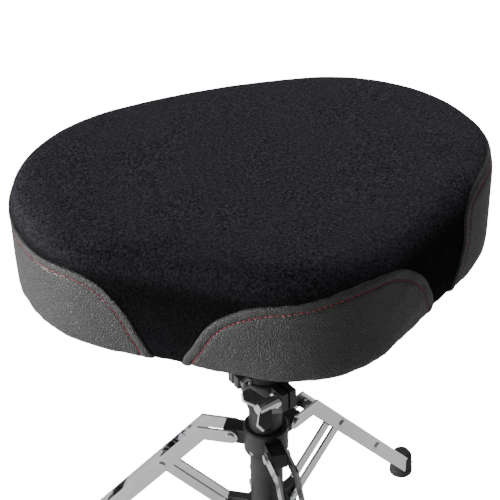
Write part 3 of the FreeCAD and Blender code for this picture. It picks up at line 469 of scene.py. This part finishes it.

# %% [markdown]
# The vinyl is charcoal with a satin top coat. Its creases are duller than the rounded cells and painted
# darker, as painted shade, and handling changes its gloss in broad patches.

# %% Material: vinyl


def vinyl_material():
    material, tree, shader, place = new_material("charcoal_vinyl", Specular_IOR_Level=0.65)
    grain = effect(tree, PEBBLE_GRAIN, place, Cells_per_metre=480.0)
    patch = effect(tree, HANDLING, place)["Patch"]
    dust = effect(tree, DUST, place, Amount=0.02)["Dust"]
    # painted shade: the creases between the cells are painted darker than the cells
    crease_shaded_film = mix_colour(tree, grain["Crease"], (0.011, 0.0105, 0.0102, 1), (0.0015, 0.0015, 0.0015, 1))
    tree.links.new(mix_colour(tree, dust, crease_shaded_film, (0.16, 0.16, 0.155, 1)), shader.inputs["Base Color"])
    gloss = math_node(tree, "ADD", scaled(tree, patch, 0.40, 0.46),
                      math_node(tree, "MULTIPLY", grain["Crease"], 0.25))
    tree.links.new(gloss, shader.inputs["Roughness"])
    bump(tree, shader, grain["Height"], 1.0, 0.0005)
    return material


VINYL = vinyl_material()
print("material:", VINYL.name)

# %% [markdown]
# The stitches are crimson bonded thread: two plies twisted together, which a slanting wave in the bump
# suggests at this size. The same wave paints the grooves between the plies a darker red, as painted shade.

# %% Material: thread


def thread_material():
    material, tree, shader, place = new_material(
        "crimson_thread", Roughness=0.55, Sheen_Weight=0.2, Sheen_Roughness=0.4)
    twist = add_node(tree, "ShaderNodeTexWave", in_Scale=900.0, in_Distortion=1.5,
                     wave_type="BANDS", bands_direction="DIAGONAL")
    tree.links.new(place, twist.inputs["Vector"])
    # painted shade: the grooves between the twisted plies are painted a darker red
    plies_with_painted_shade = mix_colour(tree, twist.outputs["Fac"], (0.30, 0.010, 0.030, 1), (0.68, 0.04, 0.09, 1))
    tree.links.new(plies_with_painted_shade, shader.inputs["Base Color"])
    bump(tree, shader, twist.outputs["Fac"], 0.6, 0.0002)
    return material


THREAD = thread_material()
print("material:", THREAD.name)

# %% [markdown]
# Metals and plastics. Chrome is a mirror with faint polishing marks and a few dull patches. Powder
# coat is a fine orange peel. Rubber and nylon are dull, rubber with bloom, nylon with a mould texture.

# %% Materials: metals and plastics


def chrome_material():
    material, tree, shader, place = new_material(
        "polished_chrome", Metallic=1.0, Base_Color=(0.95, 0.955, 0.97, 1))
    patch = effect(tree, HANDLING, place, Patches_per_metre=24.0, Middle=0.62)["Patch"]
    dust = effect(tree, DUST, place, Amount=0.5)["Dust"]
    marks = add_node(tree, "ShaderNodeTexNoise", in_Scale=900.0, in_Detail=2.0)
    tree.links.new(place, marks.inputs["Vector"])
    gloss = math_node(tree, "ADD", scaled(tree, patch, 0.06, 0.15),
                      math_node(tree, "MULTIPLY", dust, 0.5))
    tree.links.new(gloss, shader.inputs["Roughness"])
    bump(tree, shader, marks.outputs["Fac"], 0.05, 0.0001)
    return material


def coated_material(name, colour, raised, rough, dust_amount, peel_scale, peel_depth):
    """A dark coated or moulded surface: orange peel or mould texture, handling and dust."""
    material, tree, shader, place = new_material(name)
    peel = add_node(tree, "ShaderNodeTexNoise", in_Scale=peel_scale, in_Detail=2.0)
    tree.links.new(place, peel.inputs["Vector"])
    patch = effect(tree, HANDLING, place, Patches_per_metre=30.0)["Patch"]
    dust = effect(tree, DUST, place, Amount=dust_amount)["Dust"]
    worn = mix_colour(tree, patch, colour, raised)
    tree.links.new(mix_colour(tree, dust, worn, (0.3, 0.3, 0.29, 1)), shader.inputs["Base Color"])
    gloss = math_node(tree, "ADD", scaled(tree, patch, rough, rough + 0.1),
                      math_node(tree, "MULTIPLY", dust, 0.3))
    tree.links.new(gloss, shader.inputs["Roughness"])
    bump(tree, shader, peel.outputs["Fac"], 0.5, peel_depth)
    return material


CHROME = chrome_material()
COAT = coated_material("satin_black_coat", (0.012, 0.012, 0.013, 1), (0.022, 0.022, 0.023, 1),
                       0.33, 0.12, 1400.0, 0.0001)
RUBBER = coated_material("moulded_rubber", (0.012, 0.012, 0.012, 1), (0.030, 0.030, 0.029, 1),
                         0.62, 0.3, 700.0, 0.0002)
NYLON = coated_material("moulded_nylon", (0.016, 0.016, 0.017, 1), (0.026, 0.026, 0.026, 1),
                        0.45, 0.1, 1600.0, 0.0001)
DUST_CLOTH = coated_material("black_dust_cloth", (0.008, 0.008, 0.008, 1), (0.018, 0.018, 0.018, 1),
                             0.9, 0.35, 2400.0, 0.0003)


def zinc_material():
    material, tree, shader, place = new_material("zinc_plate", Metallic=1.0)
    spangle = add_node(tree, "ShaderNodeTexVoronoi", in_Scale=700.0)
    tree.links.new(place, spangle.inputs["Vector"])
    plate = mix_colour(tree, spangle.outputs["Distance"], (0.5, 0.51, 0.53, 1), (0.68, 0.68, 0.67, 1))
    tree.links.new(plate, shader.inputs["Base Color"])
    patch = effect(tree, HANDLING, place, Patches_per_metre=60.0)["Patch"]
    tree.links.new(scaled(tree, patch, 0.28, 0.42), shader.inputs["Roughness"])
    return material


def plywood_material():
    material, tree, shader, place = new_material("birch_plywood", Roughness=0.7)
    stretch = add_node(tree, "ShaderNodeMapping")
    stretch.inputs["Scale"].default_value = (0.12, 1.0, 6.0)
    tree.links.new(place, stretch.inputs["Vector"])
    grain = add_node(tree, "ShaderNodeTexNoise", in_Scale=220.0, in_Detail=5.0, in_Distortion=0.4)
    tree.links.new(stretch.outputs["Vector"], grain.inputs["Vector"])
    wood = mix_colour(tree, grain.outputs["Fac"], (0.36, 0.24, 0.13, 1), (0.62, 0.47, 0.29, 1))
    tree.links.new(wood, shader.inputs["Base Color"])
    bump(tree, shader, grain.outputs["Fac"], 0.3, 0.0003)
    return material


def foam_material():
    material, tree, shader, place = new_material("open_cell_foam", Roughness=0.95)
    pores = add_node(tree, "ShaderNodeTexVoronoi", in_Scale=900.0)
    tree.links.new(place, pores.inputs["Vector"])
    # painted shade: the middle of each pore is painted darker than the walls between the pores
    pore_shaded_foam = mix_colour(tree, pores.outputs["Distance"], (0.45, 0.4, 0.26, 1), (0.72, 0.67, 0.48, 1))
    tree.links.new(pore_shaded_foam, shader.inputs["Base Color"])
    bump(tree, shader, pores.outputs["Distance"], 0.8, 0.0005)
    return material


ZINC = zinc_material()
PLYWOOD = plywood_material()
FOAM = foam_material()
print("materials:", sorted(material.name for material in bpy.data.materials))

# %% [markdown]
# The frame's own parts keep their shapes and take these materials by the slot their record names.

# %% Materials on the frame's parts
BY_SLOT = {
    "velour": VELOUR, "vinyl": VINYL, "foam": FOAM, "plywood": PLYWOOD, "dust_cloth": DUST_CLOTH,
    "black_paint": COAT, "chrome": CHROME, "zinc": ZINC, "nylon": NYLON, "rubber": RUBBER,
}
for part in frame["record"]["subparts"]:
    shape = frame["nodes"][part["node"]].data
    shape.materials.clear()
    shape.materials.append(BY_SLOT[part["material_slot"]])

# %% [markdown]
# The cushion. Foam wrapped in stretched cloth is never the plain solid of a drawing: it swells between
# its seams and softens at every edge. So a copy of the foam and its board is remeshed evenly, blown up
# a little as cloth under pressure, and held back to a few millimetres. It is then smoothed, given the
# thickness of the velour, and tucked in round its lower edge, where the cloth is pulled under.

# %% Cushion: an even mesh of the foam and board
cushion = copy_of_nodes(["foam_core", "seat_board"], "cushion")
modify(cushion, "REMESH", mode="VOXEL", voxel_size=5 * MM)
start_points = [vertex.co.copy() for vertex in cushion.data.vertices]
start_normals = [vertex.normal.copy() for vertex in cushion.data.vertices]
print("cushion starts with", len(start_points), "points")

# %% Cushion: cloth under pressure
SWELL_LIMIT = 2.5 * MM
SWELL_FRAMES = 20
held = cushion.vertex_groups.new(name="held")
held_below = board_high.z + 2 * MM
held.add([i for i, co in enumerate(start_points) if co.z < held_below], 1.0, "REPLACE")
cloth = cushion.modifiers.new("swell", "CLOTH")
cloth.settings.quality = 5
cloth.settings.mass = 0.3
cloth.settings.tension_stiffness = 18
cloth.settings.compression_stiffness = 18
cloth.settings.bending_stiffness = 2
cloth.settings.vertex_group_mass = "held"
cloth.settings.use_pressure = True
cloth.settings.uniform_pressure_force = 4
cloth.settings.effector_weights.gravity = 0
cloth.point_cache.frame_start = 1
cloth.point_cache.frame_end = SWELL_FRAMES
for step in range(1, SWELL_FRAMES + 1):
    bpy.context.scene.frame_set(step)
only(cushion)
bpy.ops.object.modifier_apply(modifier=cloth.name)
bpy.context.scene.frame_set(1)
swollen = 0.0
for vertex, start, normal in zip(cushion.data.vertices, start_points, start_normals):
    outward = min(max((vertex.co - start).dot(normal), 0.0), SWELL_LIMIT)
    vertex.co = start + normal * outward
    swollen = max(swollen, outward)
print(f"cushion swells by up to {swollen / MM:.1f} mm")

# %% Cushion: smooth, cover and tuck
VELOUR_THICK = 1.4 * MM
TUCK_DEPTH, TUCK_TALL = 2.8 * MM, 12 * MM
LOWEST = SEAT_FLOOR - 0.6 * MM
modify(cushion, "SMOOTH", factor=0.5, iterations=14)
modify(cushion, "DISPLACE", strength=VELOUR_THICK, mid_level=0.0)
modify(cushion, "SUBSURF", levels=1, render_levels=1)
for vertex in cushion.data.vertices:
    share = max(0.0, 1.0 - (vertex.co.z - SEAT_FLOOR) / TUCK_TALL)
    vertex.co.z = max(vertex.co.z - TUCK_DEPTH * share, LOWEST)
bpy.ops.object.shade_smooth()
finished(cushion, "velour_cushion", VELOUR, "seat", "velour",
         ["seat_top_cover", "foam_core"])

# %% [markdown]
# The three vinyl panels are cut flat, with an arched edge folded under and stitched down 9.5 mm in, and
# lie over the velour. Each is modelled as a grid whose rows run parallel to the arch: first the fold,
# then the hem, the groove where the thread pulls down, and the field below. The rows are wrapped on
# the cushion, pressed on to it, and lifted by a profile of the distance from the edge.

# %% Panel edges in pattern coordinates
UNDER = 13 * MM             # how far each panel wraps under the seat
CURVE_STEPS = 24            # straight steps between two knots, before the points are spread evenly


def spread_along(points, shares):
    """For each share of a line's length, the index of the step it falls in and the part of that step."""
    runs = [0.0]
    for before, after in zip(points, points[1:]):
        runs.append(runs[-1] + (after - before).length)
    found = []
    index = 0
    for share in shares:
        target = runs[-1] * share
        while index < len(runs) - 2 and runs[index + 1] < target:
            index += 1
        found.append((index, (target - runs[index]) / max(runs[index + 1] - runs[index], 1e-9)))
    return found


def smooth_path(knots, count):
    """Even points along a smooth curve through some pattern points."""
    curve = bpy.data.curves.new("path", "CURVE")
    curve.dimensions = "3D"
    spline = curve.splines.new("BEZIER")
    spline.bezier_points.add(len(knots) - 1)
    for point, (across, up) in zip(spline.bezier_points, knots):
        point.co = (across, up, 0)
        point.handle_left_type = "AUTO"
        point.handle_right_type = "AUTO"
    spline.resolution_u = CURVE_STEPS
    holder = bpy.data.objects.new("path", curve)
    shape = bpy.data.meshes.new_from_object(holder)
    points = [Vector((vertex.co.x, vertex.co.y)) for vertex in shape.vertices]
    bpy.data.objects.remove(holder)
    bpy.data.meshes.remove(shape)
    bpy.data.curves.remove(curve)
    shares = [step / (count - 1) for step in range(count)]
    return [points[index].lerp(points[index + 1], part) for index, part in spread_along(points, shares)]


# (distance round the outline, height up the wall) of each arched edge, in millimetres
NOSE_EDGE = [
    (-136, -13), (-134, 0), (-123, 20), (-116, 34), (-107, 48), (-95, 60), (-81, 69), (-63, 75.5),
    (-45, 79), (-28, 81.5), (-9, 85), (13, 88.5), (37, 89), (60, 85.5), (82, 76), (99, 64),
    (113, 49), (125, 29), (136, 5), (140, -13),
]
RIGHT_EDGE = [
    (167, -13), (169, 0), (177, 27), (181, 44), (183, 60), (184, 74), (188, 85), (196, 92),
    (210, 97), (232, 99), (262, 98), (310, 94), (380, 91), (470, 88), (540, 84), (585, 74),
    (607, 56), (619, 34), (627, 0), (630, -13),
]
LEFT_EDGE = [
    (157, -13), (160, 0), (166, 16), (171, 28), (177, 41), (184, 52), (193, 61), (203, 69),
    (213, 73.5), (226, 76.5), (243, 77), (265, 76), (300, 77), (360, 82), (430, 85), (490, 86),
    (545, 83), (585, 74), (607, 56), (619, 34), (627, 0), (630, -13),
]


def knots_of(edge, side=1):
    """An edge in metres, on the throne's +X side or its -X side."""
    return [(side * along * MM, up * MM) for along, up in edge]


nose_knots = knots_of(NOSE_EDGE)
right_knots = knots_of(RIGHT_EDGE)
left_knots = knots_of(reversed(LEFT_EDGE), -1)
print("edge points:", len(nose_knots), len(right_knots), len(left_knots))

# %% Panels: hem, wrap and lift
# (distance from the edge, lift above the cushion) across the hem and its groove, in millimetres
PROFILE = [
    (0.0, -0.8), (0.3, 0.5), (0.9, 1.4), (2.0, 1.9), (4.2, 2.05), (6.4, 1.9), (7.9, 1.5),
    (8.9, 0.8), (9.5, 0.5), (10.1, 0.8), (11.2, 1.35), (13.0, 1.6), (16.0, 1.6), (20.0, 1.6),
]
STITCH_ROW = 8              # the groove's lowest point in the profile
FIELD_ROWS = 26
NOSE_COLUMNS, SIDE_COLUMNS = 220, 320
CLEAR = 12 * MM             # how far out a panel starts before it is pressed on to the cushion
VINYL_THICK = 1 * MM


def panel_rows(edge):
    """Rows of pattern points: parallel to the edge near it, then closing down to the base line."""
    count = len(edge)
    inward = []
    for i in range(count):
        ahead = edge[min(i + 1, count - 1)] - edge[max(i - 1, 0)]
        inward.append(Vector((ahead.y, -ahead.x)).normalized())
    rows = [[point + normal * away * MM for point, normal in zip(edge, inward)]
            for away, _ in PROFILE]
    last = rows[-1]
    left, right = last[0].x, last[-1].x
    for step in range(1, FIELD_ROWS + 1):
        share = step / FIELD_ROWS
        row = []
        for i, point in enumerate(last):
            base = Vector((left + (right - left) * i / (count - 1), -UNDER))
            row.append(point.lerp(base, share))
        rows.append(row)
    return rows


def press_on(panel):
    """Move a panel's points to the nearest places on the cushion."""
    modify(panel, "SHRINKWRAP", target=cushion, wrap_method="NEAREST_SURFACEPOINT")


def make_panel(name, knots, count, replaced):
    """A hemmed vinyl panel wrapped on the cushion; gives its stitch line as (point, outward) pairs."""
    rows = panel_rows(smooth_path(knots, count))
    bpy.ops.object.select_all(action="DESELECT")
    bpy.ops.mesh.primitive_grid_add(x_subdivisions=count - 1, y_subdivisions=len(rows) - 1, size=1)
    panel = bpy.context.object
    for index, vertex in enumerate(panel.data.vertices):
        row, column = divmod(index, count)
        place, out = on_cushion(rows[row][column].x, rows[row][column].y)
        vertex.co = place + out * CLEAR
    press_on(panel)
    modify(panel, "SMOOTH", factor=0.4, iterations=2)
    press_on(panel)
    panel.data.update()
    surface = BVHTree.FromObject(cushion, bpy.context.evaluated_depsgraph_get())
    lifts = [lift for _, lift in PROFILE] + [PROFILE[-1][1]] * FIELD_ROWS
    stitch_line = []
    for index, vertex in enumerate(panel.data.vertices):
        row = index // count
        place, out, _, _ = surface.find_nearest(vertex.co)
        vertex.co = place + out * lifts[row] * MM
        if row == STITCH_ROW:
            stitch_line.append((vertex.co.copy(), out.copy()))
    only(panel)
    bpy.ops.object.mode_set(mode="EDIT")
    bpy.ops.mesh.select_all(action="SELECT")
    bpy.ops.mesh.normals_make_consistent(inside=False)
    bpy.ops.object.mode_set(mode="OBJECT")
    outwardness = sum(polygon.normal.dot(polygon.center - COLUMN) for polygon in panel.data.polygons)
    if outwardness < 0:
        panel.data.flip_normals()
    modify(panel, "SOLIDIFY", thickness=VINYL_THICK, offset=-1)
    bpy.ops.object.shade_smooth()
    finished(panel, name, VINYL, "seat", "vinyl", replaced)
    return stitch_line


stitch_lines = {
    "nose": make_panel("nose_vinyl", nose_knots, NOSE_COLUMNS, ["nose_panel"]),
    "right": make_panel("right_side_vinyl", right_knots, SIDE_COLUMNS, ["right_side_panel"]),
    "left": make_panel("left_side_vinyl", left_knots, SIDE_COLUMNS, ["left_side_panel"]),
}

# %% [markdown]
# Each stitch is a short capsule of thread that dips at both ends into its needle holes. One stitch is
# modelled, then copied along every stitch line at an even pitch. The wire staples that hold the dust
# cloth underneath are the same shape, longer and flatter, one over each staple of the frame.

# %% A capsule of thread or wire
STITCH_PITCH = 4.9 * MM
STITCH_LONG = 3.6 * MM
THREAD_RADIUS = 0.38 * MM


def capsule(length, radius, bow_height):
    """A capsule along X: a small sphere drawn out, bowed up in the middle and down at its ends."""
    bpy.ops.object.select_all(action="DESELECT")
    bpy.ops.mesh.primitive_uv_sphere_add(segments=7, ring_count=8, radius=radius)
    pattern = bpy.context.object
    bpy.ops.transform.rotate(value=math.pi / 2, orient_axis="Y", center_override=(0, 0, 0))
    bpy.ops.object.transform_apply(location=True, rotation=True, scale=True)
    for vertex in pattern.data.vertices:
        along = vertex.co.x / radius
        vertex.co.x = along * length / 2
        vertex.co.z += (1 - along ** 2 - 0.35) * bow_height
    return pattern


def copies(name, pattern, places, material, slot, replaced=()):
    """One object that holds a copy of a pattern for each matrix."""
    build = bmesh.new()
    for matrix in places:
        before = len(build.verts)
        build.from_mesh(pattern.data)
        build.verts.ensure_lookup_table()
        for vertex in build.verts[before:]:
            vertex.co = matrix @ vertex.co
    shape = bpy.data.meshes.new(name)
    build.to_mesh(shape)
    build.free()
    made = bpy.data.objects.new(name, shape)
    bpy.context.scene.collection.objects.link(made)
    only(made)
    bpy.ops.object.shade_smooth()
    bpy.data.objects.remove(pattern)
    finished(made, name, material, "seat", slot, replaced)


def facing(place, along, out):
    """Matrix that puts a capsule at a place, along a direction, its bow facing out."""
    side = out.cross(along).normalized()
    turn = Matrix((side.cross(out), side, out)).transposed().to_4x4()
    return Matrix.Translation(place) @ turn


# %% Stitches


def stitch_places(line):
    """Matrices at an even pitch along a line of (point, outward) pairs, above the seat's lower edge."""
    points = [point for point, _ in line]
    length = sum((after - before).length for before, after in zip(points, points[1:]))
    count = int(length / STITCH_PITCH)
    places = []
    for index, part in spread_along(points, [(step + 0.5) / count for step in range(count)]):
        place = points[index].lerp(points[index + 1], part)
        if place.z > SEAT_FLOOR + 1 * MM:
            out = line[index][1].lerp(line[index + 1][1], part).normalized()
            along = (points[index + 1] - points[index]).normalized()
            places.append(facing(place + out * THREAD_RADIUS * 0.6, along, out))
    return places


for side, line in stitch_lines.items():
    stitch = capsule(STITCH_LONG, THREAD_RADIUS, THREAD_RADIUS * 1.1)
    copies(f"{side}_stitches", stitch, stitch_places(line), THREAD, "velour")

# %% Staples of the dust cloth
STAPLE_LONG, STAPLE_WIRE = 10 * MM, 0.5 * MM
STAPLE_COUNT = 40
STAPLE_INSET = 21 * MM
STAPLE_GAP = 0.2 * MM
cloth_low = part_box("dust_cover")[0][2]
staple_places = []
for step in range(STAPLE_COUNT):
    point, normal = outline(((step + 0.5) / STAPLE_COUNT * 2 - 1) * HALF_RUN)
    plan = point - normal * STAPLE_INSET
    place = Vector((COLUMN.x + plan.x, COLUMN.y + plan.y, cloth_low - STAPLE_GAP))
    staple_places.append(facing(place, Vector((-normal.y, normal.x, 0)), Vector((0, 0, -1))))
wire = capsule(STAPLE_LONG, STAPLE_WIRE, STAPLE_WIRE)
copies("wire_staples", wire, staple_places, ZINC, "zinc", ["cover_staples"])

# %% [markdown]
# A plain pale studio. The floor is white paper and the sky is even, and both look white to the camera
# however little light the throne gets from them. Seen from below the floor is clear, so that the
# underside of the seat can be looked at.

# %% Floor and sky
WHITE = (1, 1, 1, 1)
BACKDROP = 16.0


def shader_mix(tree, factor, first, second):
    """One shader where the factor is 0 and another where it is 1."""
    node = add_node(tree, "ShaderNodeMixShader")
    for socket, source in zip(node.inputs, (factor, first, second)):
        tree.links.new(source, socket)
    return node.outputs[0]


def camera_mix(tree, elsewhere, seen):
    """A shader that the camera sees as one thing and every other ray as another."""
    path = add_node(tree, "ShaderNodeLightPath")
    return shader_mix(tree, path.outputs["Is Camera Ray"], elsewhere, seen)


bpy.ops.object.select_all(action="DESELECT")
bpy.ops.mesh.primitive_plane_add(size=14, location=(0, 0, 0))
floor = bpy.context.object
floor.name = "studio_floor"
paper, paper_tree, paper_shader, _ = new_material(
    "white_paper", Roughness=0.9, Base_Color=(0.85, 0.85, 0.85, 1))
glow = add_node(paper_tree, "ShaderNodeEmission", in_Strength=BACKDROP)
above = camera_mix(paper_tree, paper_shader.outputs[0], glow.outputs[0])
facts = add_node(paper_tree, "ShaderNodeNewGeometry")
clear = add_node(paper_tree, "ShaderNodeBsdfTransparent")
surface = shader_mix(paper_tree, facts.outputs["Backfacing"], above, clear.outputs[0])
paper_tree.links.new(surface, paper_tree.nodes["Material Output"].inputs["Surface"])
floor.data.materials.append(paper)

sky = bpy.data.worlds.new("studio")
bpy.context.scene.world = sky
sky.use_nodes = True
fill = sky.node_tree.nodes["Background"]
fill.inputs["Strength"].default_value = 0.15
fill.inputs["Color"].default_value = WHITE
backdrop = add_node(sky.node_tree, "ShaderNodeBackground", in_Color=WHITE, in_Strength=BACKDROP)
sky_shader = camera_mix(sky.node_tree, fill.outputs[0], backdrop.outputs[0])
sky.node_tree.links.new(sky_shader, sky.node_tree.nodes["World Output"].inputs["Surface"])
print("stage:", floor.name, sky.name)

# %% [markdown]
# The light is soft. A large low box on the throne's -X side draws the broad reflection on the vinyl,
# and a small one in front of it carries that reflection round the nose. A wide one overhead lights the
# velour, and a weak one behind on the +X side lifts the far panel.

# %% Lights
AIM = Vector((COLUMN.x, COLUMN.y, SEAT_FLOOR))


def soft_box(name, place, wide, tall, power):
    """A rectangular area light turned towards the seat: place from its floor in metres, power in watts."""
    lamp = bpy.data.lights.new(name, "AREA")
    lamp.shape = "RECTANGLE"
    lamp.size, lamp.size_y = wide, tall
    lamp.energy = power
    holder = bpy.data.objects.new(name, lamp)
    bpy.context.scene.collection.objects.link(holder)
    holder.location = AIM + Vector(place)
    holder.rotation_euler = (-Vector(place)).to_track_quat("-Z", "Y").to_euler()


soft_box("key_light", (-1.9, 0.1, -0.14), 0.8, 0.55, 62)
soft_box("front_light", (-1.5, -1.2, -0.17), 0.45, 0.45, 13)
soft_box("top_light", (0.3, 0.5, 2.0), 1.6, 1.6, 30)
soft_box("rim_light", (1.6, 1.5, 0.3), 0.8, 1.0, 4)
print("lights:", [lamp.name for lamp in bpy.data.lights])

# %% [markdown]
# The camera stands to the front-left and above, at a long focal length, rolled by a degree and a half.
# The seat's middle stands a little right of and above the centre of its view.

# %% Camera
VIEW_FROM = Vector((-314.4, -1012.1, 675.2)) * MM
TARGET = Vector((COLUMN.x, COLUMN.y, SEAT_FLOOR + 46.8 * MM))
FOCAL = 96.8
SENSOR = 36.0
ROLL = math.radians(1.57)
SHIFT_RIGHT, SHIFT_UP = 0.0221, 0.0713      # of the seat's middle, as shares of the view's width
TARGET_RIGHT, TARGET_UP = SHIFT_RIGHT * SENSOR / FOCAL, SHIFT_UP * SENSOR / FOCAL

view_in = (-VIEW_FROM).normalized()
view_right = view_in.cross(Vector((0, 0, 1))).normalized()
view_up = view_right.cross(view_in)
right_offset = TARGET_RIGHT * math.cos(ROLL) + TARGET_UP * math.sin(ROLL)
up_offset = -TARGET_RIGHT * math.sin(ROLL) + TARGET_UP * math.cos(ROLL)
look = (view_in - view_right * right_offset - view_up * up_offset).normalized()
lens = bpy.data.cameras.new("camera")
lens.lens = FOCAL
lens.sensor_width = SENSOR
camera = bpy.data.objects.new("camera", lens)
bpy.context.scene.collection.objects.link(camera)
turn = look.to_track_quat("-Z", "Y").to_matrix().to_4x4()
camera.matrix_world = (Matrix.Translation(TARGET + VIEW_FROM) @ turn
                       @ Matrix.Rotation(-ROLL, 4, "Z"))
bpy.context.scene.camera = camera
print("camera at", [round(v, 3) for v in camera.matrix_world.translation])
